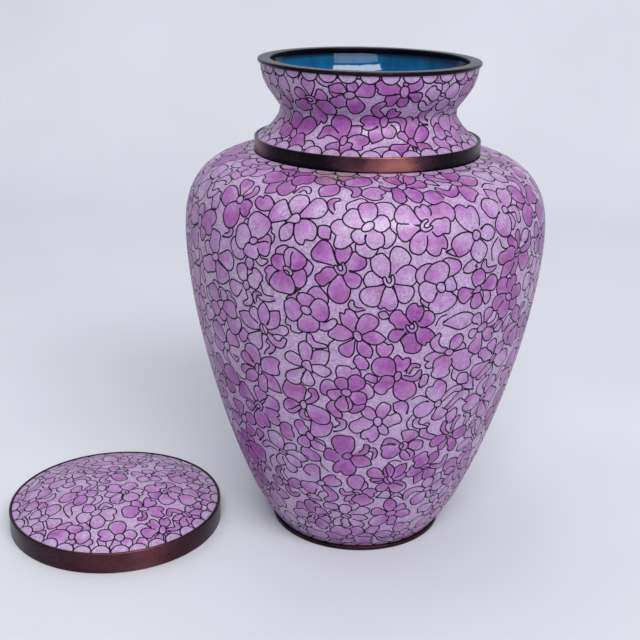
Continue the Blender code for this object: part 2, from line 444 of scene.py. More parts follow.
class WallChart:
    """Lays a turned wall out flat as a ring, true to angle, so that it has no seam."""

    flips = True
    NEARLY_LEVEL = 0.05

    def __init__(self, meridian: Meridian) -> None:
        """Works out how far from the middle each arc lies when flat.

        Args:
            meridian: The wall's smooth outside.
        """
        self.meridian = meridian
        mean = (meridian.radius[1:] + meridian.radius[:-1]) / 2
        self.spread = np.exp(np.concatenate([[0], np.cumsum(np.diff(meridian.arc) / mean)]))

    def radius(self, arc: Array) -> Array:
        """The real radius at an arc."""
        return np.interp(arc, self.meridian.arc, self.meridian.radius)

    def flat(self, theta: Array, arc: Array) -> Array:
        """Says where places of the surface lie when flat. Past either border the sheet goes on evenly.

        Args:
            theta: Their angles about the axis.
            arc: How far along the meridian they lie.

        Returns:
            Two flat coordinates for each.
        """
        inside = np.clip(arc, 0, self.meridian.length)
        far = np.interp(inside, self.meridian.arc, self.spread)
        far = far * np.exp((arc - inside) / self.radius(inside))
        return np.stack([far * np.cos(theta), far * np.sin(theta)], -1)

    def lift(self, flat: Array) -> tuple[Array, Array]:
        """Goes back from the flat to the surface. A place past a border gets an arc past it too.

        Args:
            flat: The flat places.

        Returns:
            The angle and the arc of each.
        """
        far = np.hypot(flat[:, 0], flat[:, 1])
        arc = np.interp(far, self.spread, self.meridian.arc)
        arc = np.where(far < self.spread[0] * (1 - SLACK), -1.0, arc)
        arc = np.where(far > self.spread[-1] * (1 + SLACK), self.meridian.length + 1.0, arc)
        return np.arctan2(flat[:, 1], flat[:, 0]), arc

    def place(self, spot: Spot, local: Array) -> Array:
        """Lays out points about a spot.

        Args:
            spot: The spot's angle and arc.
            local: How far right and up of it each point lies, in millimetres.

        Returns:
            The points on the flat.
        """
        arc = spot[1] + local[:, 1]
        near = np.clip(arc, 0, self.meridian.length)
        return self.flat(spot[0] + local[:, 0] / self.radius(near), arc)

    def offsets(self, spot: Array, others: Array) -> Array:
        """Measures between spots.

        Args:
            spot: The spots to measure from.
            others: The spots to measure to.

        Returns:
            How far right and up each lies, in millimetres.
        """
        turn = (others[..., 0] - spot[..., 0] + math.pi) % math.tau - math.pi
        mean = (self.radius(spot[..., 1]) + self.radius(others[..., 1])) / 2
        return np.stack([turn * mean, others[..., 1] - spot[..., 1]], -1)

    def moved(self, spots: Array, local: Array) -> Array:
        """Moves spots and keeps them between the borders.

        Args:
            spots: Their angles and arcs.
            local: How far right and up each moves, in millimetres.

        Returns:
            The new spots.
        """
        arc = np.clip(spots[:, 1] + local[:, 1], 0, self.meridian.length)
        return np.stack([spots[:, 0] + local[:, 0] / self.radius(spots[:, 1]), arc], 1)

    def scatter(self, rng: np.random.Generator, count: int) -> Array:
        """Scatters spots evenly over the surface.

        Args:
            rng: The source of chance.
            count: How many.

        Returns:
            The angle and arc of each.
        """
        area = np.concatenate([[0], np.cumsum(np.diff(self.meridian.arc) * self.meridian.radius[1:])])
        arc = np.interp(rng.uniform(0, area[-1], count), area, self.meridian.arc)
        return np.stack([rng.uniform(0, math.tau, count), arc], 1)

    def edge_reach(self, spot: Spot, angle: float) -> float:
        """Measures from a spot to the border.

        Args:
            spot: The spot's angle and arc.
            angle: The direction, from the right.

        Returns:
            How far the border lies, in millimetres.
        """
        rise = math.sin(angle)
        if abs(rise) < self.NEARLY_LEVEL:
            return FAR_OFF
        return ((self.meridian.length if rise > 0 else 0) - spot[1]) / rise

    def borders(self) -> list[float]:
        """The arcs at which the surface ends."""
        return [0.0, self.meridian.length]

    def area(self) -> float:
        """The surface's area in square millimetres."""
        return float(math.tau * (np.diff(self.meridian.arc) * self.meridian.radius[1:]).sum())


class DomeChart(WallChart):
    """Lays a shallow dome out flat as a disc whose middle is the apex."""

    flips = False

    def __init__(self, meridian: Meridian) -> None:
        """Measures from the apex, where the arc ends."""
        super().__init__(meridian)
        self.rim = meridian.length

    def flat(self, theta: Array, arc: Array) -> Array:
        """Where an angle and an arc lie when flat."""
        far = self.rim - arc
        return np.stack([far * np.cos(theta), far * np.sin(theta)], -1)

    def lift(self, flat: Array) -> tuple[Array, Array]:
        """The angle and the arc of flat places."""
        return np.arctan2(flat[:, 1], flat[:, 0]), self.rim - np.hypot(flat[:, 0], flat[:, 1])

    def place(self, spot: Spot, local: Array) -> Array:
        """Lays millimetres about a flat spot on the flat."""
        return np.asarray(spot) + local

    def offsets(self, spot: Array, others: Array) -> Array:
        """How far some flat spots lie from others."""
        return others - spot

    def moved(self, spots: Array, local: Array) -> Array:
        """Moves flat spots and keeps them inside the rim.

        Args:
            spots: The flat spots.
            local: How far each moves, in millimetres.

        Returns:
            The new spots.
        """
        made = spots + local
        far = np.hypot(made[:, 0], made[:, 1])
        return made * np.minimum(1, self.rim / np.maximum(far, TINY))[:, None]

    def scatter(self, rng: np.random.Generator, count: int) -> Array:
        """Scatters flat spots evenly over the disc.

        Args:
            rng: The source of chance.
            count: How many.

        Returns:
            The flat spots.
        """
        far = self.rim * np.sqrt(rng.uniform(0, 1, count))
        turn = rng.uniform(0, math.tau, count)
        return np.stack([far * np.cos(turn), far * np.sin(turn)], 1)

    def edge_reach(self, spot: Spot, angle: float) -> float:
        """How far the rim lies from a flat spot in one direction."""
        along = spot[0] * math.cos(angle) + spot[1] * math.sin(angle)
        return -along + math.sqrt(max(along**2 + self.rim**2 - spot[0] ** 2 - spot[1] ** 2, 0))

    def borders(self) -> list[float]:
        """The one arc at which the dome ends."""
        return [0.0]


# The flower pattern


class Matter(Enum):
    """What a face is made of. The value is its material slot."""

    ENAMEL = 0
    WIRE = 1
    LINING = 2
    EDGE = 3


@dataclass
class Patch:
    """One area of the pattern, a cell of enamel or a length of wire, with its outline on the flat."""

    outline: Array
    matter: Matter
    tone: float = 0.0
    slope: Array = field(default_factory=lambda: np.zeros(2))
    origin: Array = field(default_factory=lambda: np.zeros(2))
    chance: float = 0.5


@dataclass(frozen=True)
class Outline:
    """A petal's line from one side of its base round its tip to the other.

    Its points are shares of the petal's length and half width.
    """

    points: tuple[tuple[float, float], ...]
    corners: tuple[int, ...] = ()


class Petal(Enum):
    """The kinds of petal that the wires draw."""

    ROUND = Outline(
        ((0, -0.15), (0.1, -0.42), (0.3, -0.78), (0.56, -1), (0.79, -0.88), (0.95, -0.5), (1, 0))
        + ((0.95, 0.5), (0.79, 0.88), (0.56, 1), (0.3, 0.78), (0.1, 0.42), (0, 0.15))
    )
    BROAD = Outline(
        ((0, -0.34), (0.2, -0.72), (0.5, -0.97), (0.82, -0.95), (0.98, -0.55), (1, 0))
        + ((0.97, 0.55), (0.8, 0.97), (0.48, 1), (0.2, 0.75), (0, 0.34))
    )
    DROP = Outline(
        ((0, -0.07), (0.25, -0.38), (0.5, -0.76), (0.74, -1), (0.93, -0.72), (1, 0))
        + ((0.93, 0.72), (0.74, 1), (0.5, 0.76), (0.25, 0.38), (0, 0.07))
    )
    LEAF = Outline(
        ((0, -0.12), (0.2, -0.6), (0.5, -1), (0.8, -0.75), (1.02, -0.05))
        + ((0.84, 0.6), (0.55, 0.95), (0.24, 0.66), (0, 0.12)),
        (4,),
    )
    NICKED = Outline(
        ((0, -0.14), (0.18, -0.6), (0.48, -0.98), (0.78, -0.92), (0.88, -0.6), (0.83, -0.32), (0.93, -0.12))
        + ((1, 0.3), (0.9, 0.76), (0.66, 1), (0.36, 0.86), (0.12, 0.48), (0, 0.14))
    )
    HEART = Outline(
        ((0, -0.12), (0.2, -0.52), (0.5, -0.94), (0.8, -0.98), (0.96, -0.62), (0.93, -0.2), (0.84, 0.02))
        + ((0.97, 0.3), (1, 0.72), (0.84, 1.04), (0.5, 0.95), (0.2, 0.55), (0, 0.12)),
        (6,),
    )
    SOCK = Outline(
        ((0, -0.1), (0.3, -0.42), (0.62, -0.55), (0.9, -0.3), (1, 0.25), (1, 0.85), (0.93, 1.25), (0.8, 1.32))
        + ((0.69, 1.05), (0.68, 0.62), (0.6, 0.28), (0.4, 0.3), (0.18, 0.28), (0, 0.1))
    )
    FINGER = Outline(
        ((0, -0.12), (0.2, -0.52), (0.46, -0.82), (0.72, -0.85), (0.93, -0.5), (1, 0.05), (0.96, 0.42))
        + ((0.85, 0.45), (0.76, 0.12), (0.6, -0.12), (0.38, -0.08), (0.16, 0.08), (0, 0.1))
    )
    WAVY = Outline(
        ((0, -0.12), (0.18, -0.6), (0.36, -0.78), (0.52, -0.78), (0.68, -1), (0.86, -0.9), (0.98, -0.4))
        + ((0.98, 0.2), (0.84, 0.62), (0.68, 0.66), (0.54, 0.82), (0.34, 1), (0.14, 0.62), (0, 0.12))
    )


class Bloom(Enum):
    """The kinds of flower, each with its share of all flowers."""

    WHEEL = 0.45
    DOUBLE = 0.12
    LILY = 0.14
    WINGED = 0.18
    HAND = 0.11


@dataclass(frozen=True)
class Arches:
    """A row of little arches on a border: width and height in millimetres, share of the place, and bend."""

    width: float = 9.2
    height: float = 4.3
    share: float = 1.0
    power: float = 0.95


class Drawing:
    """Draws the flowers, leaves and arches of one surface as patches, back ones first."""

    PETAL_SHARES = {
        Petal.ROUND: 0.20,
        Petal.BROAD: 0.10,
        Petal.DROP: 0.21,
        Petal.LEAF: 0.12,
        Petal.NICKED: 0.11,
        Petal.HEART: 0.06,
        Petal.SOCK: 0.06,
        Petal.FINGER: 0.06,
        Petal.WAVY: 0.08,
    }
    PEEKING = (Petal.LEAF, Petal.SOCK, Petal.FINGER, Petal.WAVY, Petal.DROP, Petal.NICKED)
    FOLDING = (Petal.ROUND, Petal.BROAD, Petal.LEAF)
    FOLD = ((0.1, 0.0), (0.32, 0.14), (0.58, 0.4), (0.8, 0.42))
    HUB_DROP = ((-1.7, 0), (-0.3, 0.72), (0.6, 0.86), (1.05, 0), (0.6, -0.86), (-0.3, -0.72), (-1.7, 0))
    SHOE_SIDE = ((2.6, 2.5), (2.75, 0.5), (1.95, -1.9), (0, -2.85))
    SHOE_INSIDE = ((0, -0.7), (1.15, 0.7), (1.2, 2.3), (1.9, 3.0))

    # Real wire shows about half a millimetre. It is drawn wider, or it would be too thin to look dark.
    WIRE_WIDTH = 0.70

    # How far, in millimetres, a line's points may stray when those that hardly matter are left out
    WIRE_STRAY = 0.065
    PETAL_STRAY = 0.078
    ARCH_STRAY = 0.06

    # Shares of the petals, flowers and fillers that something happens to, and how uneven they are
    PETAL_UNEVEN = 0.022
    CURL = 0.2
    LEAST_CURL = 0.02
    MOST_SQUASH = 0.16
    TONE_UNEVEN = 0.08
    FOLD_SHARE = 0.08
    PALE_SHARE = 0.24
    PALE_TONES = (0.14, 0.34)
    FULL_TONES = (0.42, 0.95)
    LEAST_TONE = 0.08
    PETAL_SLOPES = (0.25, 0.95)
    LOOSE_CURL_SHARE = 0.2
    OVERLAP = 1.09
    OPEN_SHARE = 0.25
    LEAST_POINTS = 10
    FLARES = (1.0, 1.15, 1.7)

    # The middles of the flowers: a drop up to the first chance, a split circle from the second
    DROP_HUB_UNTIL = 0.16
    SPLIT_HUB_FROM = 0.78
    HUB_STEPS = 16
    HUB_UNEVEN = 0.03

    # The arches, and what peeks out between the flowers
    PALE_ARCH_SHARE = 0.88
    PALE_ARCH_TONES = (0.02, 0.16)
    FULL_ARCH_TONES = (0.25, 0.5)
    FILLER_WAYS = 8
    FILLER_TONES = (0.08, 0.7)
    WIDEST_FILLER = 8.5

    # Evening out the flowers, and the least bare place, in millimetres, that is filled
    HEXAGON = 0.866
    EVENING_ROUNDS = 7
    EVENING_TRIALS = 9000
    EVENING_PULL = 0.9
    LEAST_BARE = 2.1
    TRIAL_AREA = 7

    def __init__(self, chart: WallChart, seed: int, spacing: float, depth: float) -> None:
        """Starts an empty drawing.

        Args:
            chart: The surface.
            seed: What the random choices start from.
            spacing: How far apart flowers stand, in millimetres.
            depth: How deep the petals' colours are, as a share.
        """
        self.chart = chart
        self.depth = depth
        self.rng = np.random.default_rng(seed)
        self.spacing = spacing
        self.patches: list[Patch] = []
        self.spots = self.spread_spots()

    def spread_spots(self) -> Array:
        """Scatters the flowers' middles and evens them out.

        Returns:
            One spot for each flower.
        """
        count = max(3, round(self.chart.area() / (self.HEXAGON * self.spacing**2)))
        spots = self.chart.scatter(self.rng, count)
        for _ in range(self.EVENING_ROUNDS):
            trial = self.chart.scatter(self.rng, self.EVENING_TRIALS)
            away = self.chart.offsets(spots[None, :], trial[:, None])
            owner = (away**2).sum(-1).argmin(1)
            pull = np.zeros_like(spots)
            np.add.at(pull, owner, away[np.arange(len(trial)), owner])
            pull /= np.maximum(np.bincount(owner, minlength=count), 1)[:, None]
            spots = self.chart.moved(spots, pull * self.EVENING_PULL)
        return spots

    def pick(self, kinds: tuple[Petal, ...]) -> Petal:
        """Picks one of some kinds of petal at random."""
        return kinds[int(self.rng.integers(len(kinds)))]

    def cell(self, spot: Spot, outline: Array, tone: float, slope: float = 0.0) -> None:
        """Adds a cell of enamel.

        Args:
            spot: What its outline is measured from.
            outline: Its edge in millimetres.
            tone: How deep its colour is, from 0 for the ground to 1.
            slope: How much deeper it gets from one side to the other.
        """
        flat = self.chart.place(spot, outline)
        low, high = flat.min(0), flat.max(0)
        turn = self.rng.uniform(0, math.tau)
        way = np.array([math.cos(turn), math.sin(turn)]) * slope / max(float((high - low).max()), TINY)
        self.patches.append(Patch(flat, Matter.ENAMEL, tone, way, (low + high) / 2, self.rng.uniform()))

    def wire(self, spot: Spot, line: Array, flare: Spot = (1.0, 1.0)) -> None:
        """Adds a wire along an open line, wider at its ends if asked."""
        self.patches.append(Patch(self.chart.place(spot, ribbon(line, self.WIRE_WIDTH, flare)), Matter.WIRE))

    def bent(self, points: tuple[Spot, ...], angle: float, scale: float = 1.0) -> Array:
        """Bends a line through some points in millimetres and turns it."""
        line = curve_through(np.array(points, float) * scale, ())
        return turned(simplified(line, self.WIRE_STRAY), angle)

    def ringed(self, spot: Spot, outline: Array, tone: float, slope: float = 0.1) -> None:
        """Adds a closed cell with a wire all round it.

        Args:
            spot: What its outline is measured from.
            outline: The wire's middle in millimetres.
            tone: How deep the cell's colour is.
            slope: How much deeper it gets from one side to the other.
        """
        side = offsets_of(outline, closed=True) * self.WIRE_WIDTH / 2
        outer, inner = outline + side, outline - side
        if abs(self.turning(outer)) < abs(self.turning(inner)):
            outer, inner = inner, outer
        self.patches.append(Patch(self.chart.place(spot, outer), Matter.WIRE))
        self.cell(spot, inner, tone, slope)

    @staticmethod
    def turning(outline: Array) -> float:
        """Twice the area that an outline goes round."""
        after = np.roll(outline, -1, axis=0)
        return float((outline[:, 0] * after[:, 1] - outline[:, 1] * after[:, 0]).sum())

    def petal_line(self, kind: Petal, start: float, length: float, width: float, curl: float) -> Array:
        """Gives a petal's line, pointing along X, in millimetres.

        Args:
            kind: Its shape.
            start: How far from the flower's middle its base lies.
            length: How far its tip lies.
            width: How wide it is.
            curl: How much it turns over its length, in radians.

        Returns:
            The line from one side of the base to the other.
        """
        points = np.array(kind.value.points)
        points[1:-1] += self.rng.normal(0, self.PETAL_UNEVEN, points[1:-1].shape)
        line = curve_through(points * (length - start, width / 2) + (start, 0), kind.value.corners)
        if self.rng.random() < 0.5:
            line = (line * (1, -1))[::-1]
        if abs(curl) > self.LEAST_CURL:
            rate = curl / length
            turn = line[:, 0] * rate
            s, c = np.sin(turn), np.cos(turn)
            line = np.stack([s / rate - line[:, 1] * s, (1 - c) / rate + line[:, 1] * c], 1)
        return simplified(line, self.PETAL_STRAY)

    def petal(
        self,
        spot: Spot,
        angle: float,
        start: float,
        length: float,
        width: float,
        tone: float,
        kind: Petal | None = None,
        squash: Array | None = None,
    ) -> None:
        """Draws one petal: its cell, then the wire round it, often open at the base.

        Args:
            spot: The flower's middle.
            angle: Where it points.
            start: How far from the middle its base lies, in millimetres.
            length: How far its tip lies.
            width: How wide it is.
            tone: How deep its colour is.
            kind: Its shape, or None for a random one.
            squash: A flattening of the flower, or None.
        """
        if kind is None:
            kinds = tuple(self.PETAL_SHARES)
            kind = kinds[int(self.rng.choice(len(kinds), p=list(self.PETAL_SHARES.values())))]
        line = turned(self.petal_line(kind, start, length, width, self.rng.normal(0, self.CURL)), angle)
        if squash is not None:
            line = line @ squash
        tone = float(np.clip(tone + self.rng.normal(0, self.TONE_UNEVEN), self.LEAST_TONE, 1))
        self.cell(spot, line, tone, self.rng.uniform(*self.PETAL_SLOPES))
        trim = self.rng.random()
        if trim < self.OPEN_SHARE and len(line) > self.LEAST_POINTS:
            line = line[1:]
        elif trim < 2 * self.OPEN_SHARE and len(line) > self.LEAST_POINTS:
            line = line[:-1]
        self.wire(spot, line, tuple(self.rng.choice(self.FLARES, 2)))
        if kind in self.FOLDING and self.rng.random() < self.FOLD_SHARE:
            fold = self.bent(np.array(self.FOLD) * (length - start, width / 2) + (start, 0), angle)
            self.wire(spot, fold if squash is None else fold @ squash, (1.3, 1.0))

    def squash(self) -> Array:
        """Gives a slight flattening in a random direction, as of a flower seen aslant.

        Returns:
            The matrix that flattens.
        """
        turn = self.rng.uniform(0, math.pi)
        way = np.array([math.cos(turn), math.sin(turn)])
        return np.eye(2) - np.outer(way, way) * self.rng.uniform(0, self.MOST_SQUASH)

    def hub(self, spot: Spot, size: float, tone: float) -> None:
        """Draws a flower's middle: a circle, an oval, a split circle or a drop.

        Args:
            spot: Its place.
            size: About half its width, in millimetres.
            tone: How deep its colour is.
        """
        long, turn, kind = self.rng.uniform(1.0, 1.25), self.rng.uniform(0, math.tau), self.rng.random()
        if kind < self.DROP_HUB_UNTIL:
            self.ringed(spot, self.bent(self.HUB_DROP, turn, size)[:-1], tone)
            return
        middle = ellipse(size * long, size / long, self.HUB_STEPS, self.HUB_UNEVEN)
        self.ringed(spot, turned(middle, turn), tone)
        if kind > self.SPLIT_HUB_FROM:
            self.wire(spot, self.bent(((-0.8, 0.5), (0, 0.05), (0.75, 0.55)), turn, size))

    def room(self, index: int) -> "Room":
        """Finds the room that a flower has.

        Args:
            index: The flower's number.

        Returns:
            Its room in every direction.
        """
        spot = self.spots[index]
        away = self.chart.offsets(spot, np.delete(self.spots, index, axis=0))
        away = away[(away**2).sum(1) < (3 * self.spacing) ** 2]
        return Room(self.chart, tuple(spot), away)

    def flower(self, index: int) -> None:
        """Draws one flower of a random kind in the room it has.

        Args:
            index: The flower's number.
        """
        room = self.room(index)
        kinds = list(Bloom)
        kind = kinds[int(self.rng.choice(len(kinds), p=[b.value for b in kinds]))]
        tones = self.PALE_TONES if self.rng.random() < self.PALE_SHARE else self.FULL_TONES
        draw = {
            Bloom.WHEEL: self.wheel,
            Bloom.DOUBLE: self.double,
            Bloom.LILY: self.lily,
            Bloom.WINGED: self.winged,
            Bloom.HAND: self.hand,
        }
        draw[kind](room, self.depth * float(self.rng.uniform(*tones)))

    def wheel(self, room: "Room", tone: float) -> None:
        """Draws a flower of four to six broad petals round a small middle.

        Args:
            room: Its middle and the room round it.
            tone: How deep its petals are.
        """
        count = int(self.rng.choice([4, 5, 6], p=[0.18, 0.55, 0.27]))
        step = math.tau / count
        angles = self.rng.uniform(0, math.tau) + np.arange(count) * step
        angles += self.rng.uniform(-0.16, 0.16, count)
        size, squash = self.rng.uniform(1.9, 2.7), self.squash()
        for i in self.rng.permutation(count):
            length = room.reach(angles[i]) * self.rng.uniform(0.80, 1.02)
            width = self.OVERLAP * length * math.tan(math.pi / max(count, 5)) * self.rng.uniform(0.84, 1.08)
            self.petal(room.spot, angles[i], size * 0.5, length, width, tone, squash=squash)
        self.hub(room.spot, size, tone * self.rng.uniform(0.3, 1.0))

    def double(self, room: "Room", tone: float) -> None:
        """Draws a flower whose back petals peek out between its front ones.

        Args:
            room: Its middle and the room round it.
            tone: How deep its petals are.
        """
        count = int(self.rng.choice([4, 5]))
        start = self.rng.uniform(0, math.tau)
        step = math.tau / count
        for i in range(count):
            angle = start + (i + 0.5) * step + self.rng.uniform(-0.15, 0.15)
            length = room.reach(angle) * self.rng.uniform(0.94, 1.08)
            self.petal(room.spot, angle, 3.0, length, length * 0.74, tone - 0.1)
        for i in self.rng.permutation(count):
            angle = start + i * step
            length = room.reach(angle) * self.rng.uniform(0.68, 0.84)
            width = length * math.tan(step / 2) * self.rng.uniform(0.95, 1.12)
            self.petal(room.spot, angle, 1.2, length, width, tone, self.pick((Petal.ROUND, Petal.BROAD)))
        self.hub(room.spot, self.rng.uniform(1.8, 2.5), tone * 0.6)

    def lily(self, room: "Room", tone: float) -> None:
        """Draws a flower seen from its side: a fan of slim petals over an oval calyx.

        Args:
            room: Its middle and the room round it.
            tone: How deep its petals are.
        """
        axis = self.rng.uniform(0, math.tau)
        for turn in (2.5, -2.4):
            angle = axis + turn + self.rng.uniform(-0.2, 0.2)
            length = room.reach(angle) * self.rng.uniform(0.8, 1.0)
            self.petal(room.spot, angle, 1.0, length, length * 0.7, tone - 0.05)
        for turn in (-1.4, 1.4, -0.72, 0.72, 0.0):
            angle = axis + turn + self.rng.uniform(-0.1, 0.1)
            length = room.reach(angle) * self.rng.uniform(0.9, 1.04)
            kind = self.pick((Petal.LEAF, Petal.DROP, Petal.LEAF, Petal.WAVY))
            self.petal(room.spot, angle, 0.8, length, length * self.rng.uniform(0.44, 0.58), tone, kind)
        size = self.rng.uniform(1.9, 2.5)
        calyx = ellipse(size * 1.25, size * 0.85, self.HUB_STEPS)
        self.ringed(room.spot, turned(calyx, axis + 0.6), tone * 0.6)
        self.wire(room.spot, self.bent(((-1.1, 0.2), (0, 0.1), (1.1, -0.25)), axis + 0.6, size))

    def winged(self, room: "Room", tone: float) -> None:
        """Draws a flower with two broad curling wings, a small head and lower petals.

        Args:
            room: Its middle and the room round it.
            tone: How deep its petals are.
        """
        axis = self.rng.uniform(0, math.tau)
        plan = (
            (3.14, 0.62, Petal.LEAF),
            (-2.25, 0.74, Petal.ROUND),
            (2.25, 0.74, Petal.NICKED),
            (0.0, 0.66, self.pick((Petal.ROUND, Petal.DROP, Petal.HEART))),
            (1.02, 0.86, self.pick((Petal.SOCK, Petal.WAVY))),
            (-1.02, 0.86, self.pick((Petal.FINGER, Petal.WAVY, Petal.BROAD))),
        )
        for turn, broad, kind in plan:
            angle = axis + turn + self.rng.uniform(-0.14, 0.14)
            length = room.reach(angle) * self.rng.uniform(0.86, 1.04)
            width = length * broad * self.rng.uniform(0.9, 1.08)
            self.petal(room.spot, angle, 1.0, length, width, tone, kind)
        self.hub(room.spot, self.rng.uniform(1.7, 2.3), tone * 0.8)

    def hand(self, room: "Room", tone: float) -> None:
        """Draws a flower of six or seven slim petals round a horseshoe middle.

        Args:
            room: Its middle and the room round it.
            tone: How deep its petals are.
        """
        count = int(self.rng.choice([6, 7]))
        start = self.rng.uniform(0, math.tau)
        for i in self.rng.permutation(count):
            angle = start + i * math.tau / count + self.rng.uniform(-0.12, 0.12)
            length = room.reach(angle) * self.rng.uniform(0.86, 1.04)
            kind = self.pick((Petal.ROUND, Petal.NICKED, Petal.WAVY, Petal.DROP))
            self.petal(room.spot, angle, 1.8, length, length * self.rng.uniform(0.6, 0.76), tone, kind)
        side, inside = self.SHOE_SIDE, self.SHOE_INSIDE
        left = tuple((-x, y) for x, y in side[-2::-1] + inside[::-1])
        shoe = side + left + inside[1:] + side[:1]
        self.ringed(room.spot, self.bent(shoe, start, 0.9)[:-1], tone * 0.6)

    def fill(self) -> None:
        """Lets leaves and petals peek out where the ground would be bare, and lays loose curls there."""
        front, self.patches = self.patches, []
        tree = near_tree(self.chart, np.vstack([p.outline for p in front]))
        trial = self.chart.scatter(self.rng, int(self.chart.area() / self.TRIAL_AREA))
        flat = np.vstack([self.chart.place(tuple(t), np.zeros((1, 2))) for t in trial])
        bare = last_cover(flat, front) < 0
        trial, flat = trial[bare], flat[bare]
        body = surface_points(self.chart, flat)[0]
        clear = np.array([tree.find(p)[2] for p in body])
        taken: list[tuple[Array, float]] = []
        for i in np.argsort(-clear):
            if clear[i] < self.LEAST_BARE:
                break
            if any(np.linalg.norm(body[i] - other) < clear[i] * 0.8 + far for other, far in taken):
                continue
            self.filler(tuple(trial[i]), clear[i], tree)
            taken.append((body[i], clear[i]))
        self.patches += front

    def filler(self, spot: Spot, clear: float, tree: kdtree.KDTree) -> None:
        """Draws one leaf, petal or curl at a bare place, along the way in which it has most room.

        Args:
            spot: The place.
            clear: How far the nearest outline lies, in millimetres.
            tree: Finds the nearest outline.
        """
        best, reach = 0.0, 0.0
        for angle in np.arange(0, math.pi, math.pi / self.FILLER_WAYS):
            way = np.array([(math.cos(angle), math.sin(angle))])
            ends = self.chart.place(spot, np.vstack([way, -way]) * clear * 1.5)
            free = min(tree.find(p)[2] for p in surface_points(self.chart, ends)[0])
            if free > reach:
                best, reach = angle, free
        half = clear * (1.2 + 0.6 * min(reach / clear, 1.2))
        if self.rng.random() < self.LOOSE_CURL_SHARE:
            curl = ((-half, -clear * 0.3), (0, clear * 0.35), (half, -clear * 0.25))
            self.wire(spot, self.bent(curl, best))
            return
        kind = self.pick(self.PEEKING)
        width = min(clear * self.rng.uniform(1.8, 2.6), self.WIDEST_FILLER)
        width *= 1.25 if kind is Petal.FINGER else 1
        self.petal(spot, best, -half, half, width, self.rng.uniform(*self.FILLER_TONES), kind)

    def arches(self, arc: float, inward: int, row: Arches) -> None:
        """Draws a row of little arches that stand on a border.

        Args:
            arc: The border.
            inward: 1 if the surface lies at greater arcs, or -1.
            row: Their sizes.
        """
        radius = float(self.chart.radius(arc))
        count = round(math.tau * radius / row.width)
        half = math.pi * radius / count
        start = self.rng.uniform(0, math.tau)
        for i in range(count):
            turn = np.linspace(math.pi, 0, 15)
            tall = row.height * self.rng.uniform(0.9, 1.1)
            wide = half * row.share * self.rng.uniform(0.95, 1.0)
            arch = np.stack([wide * np.cos(turn), tall * np.sin(turn) ** row.power], 1)
            arch = np.vstack([arch[:1] - (0, 0.5), arch, arch[-1:] - (0, 0.5)])
            arch = simplified(arch, self.ARCH_STRAY)
            middle = start + i * math.tau / count + self.rng.normal(0, 0.06) * half / radius
            cell, side = (
                self.chart.flat(middle + shape[:, 0] / radius, arc + inward * shape[:, 1])
                for shape in (arch, ribbon(arch, self.WIRE_WIDTH))
            )
            pale = self.rng.random() < self.PALE_ARCH_SHARE
            tone = self.rng.uniform(*(self.PALE_ARCH_TONES if pale else self.FULL_ARCH_TONES))
            even, centre = np.zeros(2), cell.mean(0)
            self.patches.append(Patch(cell, Matter.ENAMEL, tone, even, centre, self.rng.uniform()))
            self.patches.append(Patch(side, Matter.WIRE))

    def draw(self, rows: list[tuple[float, int, Arches]]) -> list[Patch]:
        """Draws the whole surface.

        Args:
            rows: The arc, inward direction and sizes of each row of arches.

        Returns:
            The patches, back ones first.
        """
        for index in self.rng.permutation(len(self.spots)):
            self.flower(index)
        self.fill()
        for arc, inward, row in rows:
            self.arches(arc, inward, row)
        return self.patches


class Room:
    """The room that one flower has before it meets its neighbours or a border."""

    LEAST = 5.5
    MOST = 15.5
    BORDER = 1.6

    def __init__(self, chart: WallChart, spot: Spot, neighbours: Array) -> None:
        """Keeps the flower's place and where its neighbours stand from it."""
        self.chart, self.spot, self.neighbours = chart, spot, neighbours

    def reach(self, angle: float) -> float:
        """Says how long a petal may be.

        Args:
            angle: The direction in which it points.

        Returns:
            Its length in millimetres.
        """
        way = np.array([math.cos(angle), math.sin(angle)])
        ahead = self.neighbours @ way
        near = self.neighbours[ahead > 0.1]
        middle = ((near**2).sum(1) / (2 * ahead[ahead > 0.1])).min() if len(near) else FAR_OFF
        edge = self.chart.edge_reach(self.spot, angle) - self.BORDER
        return float(np.clip(min(middle * 1.02, max(edge, 0)), self.LEAST, self.MOST))


# Meshes


def surface_points(chart: WallChart, flat: Array) -> tuple[Array, Array]:
    """Lifts flat places to the turned surface.

    Args:
        chart: The surface.
        flat: The flat places.

    Returns:
        Points and outward normals about the piece's axis, in millimetres.
    """
    theta, arc = chart.lift(flat)
    radius, height, out, up = chart.meridian.at(np.clip(arc, 0, chart.meridian.length))
    c, s = np.cos(theta), np.sin(theta)
    return np.stack([radius * c, radius * s, height], 1), np.stack([out * c, out * s, up], 1)


def near_tree(chart: WallChart, flat: Array) -> kdtree.KDTree:
    """Makes a tree that finds the nearest of some flat places, measured on the turned surface.

    Args:
        chart: The surface.
        flat: The flat places.

    Returns:
        The tree.
    """
    tree = kdtree.KDTree(len(flat))
    for i, place in enumerate(surface_points(chart, flat)[0]):
        tree.insert(place, i)
    tree.balance()
    return tree


def last_cover(points: Array, patches: list[Patch], own: Array | None = None) -> Array:
    """Finds the frontmost patch over each flat point.

    Args:
        points: The flat points.
        patches: The patches, back ones first.
        own: For each point, the patch behind which nothing counts.

    Returns:
        The patch's number for each point, or -1.
    """
    order = np.argsort(points[:, 0], kind="stable")
    ranked = points[order, 0]
    cover = np.full(len(points), -1)
    for index, patch in enumerate(patches):
        low, high = patch.outline.min(0), patch.outline.max(0)
        first, last = np.searchsorted(ranked, (low[0], high[0]))
        near = order[first:last]
        near = near[(points[near, 1] >= low[1]) & (points[near, 1] <= high[1])]
        if own is not None:
            near = near[own[near] < index]
        if len(near):
            cover[near[within(points[near], patch.outline)]] = index
    return cover


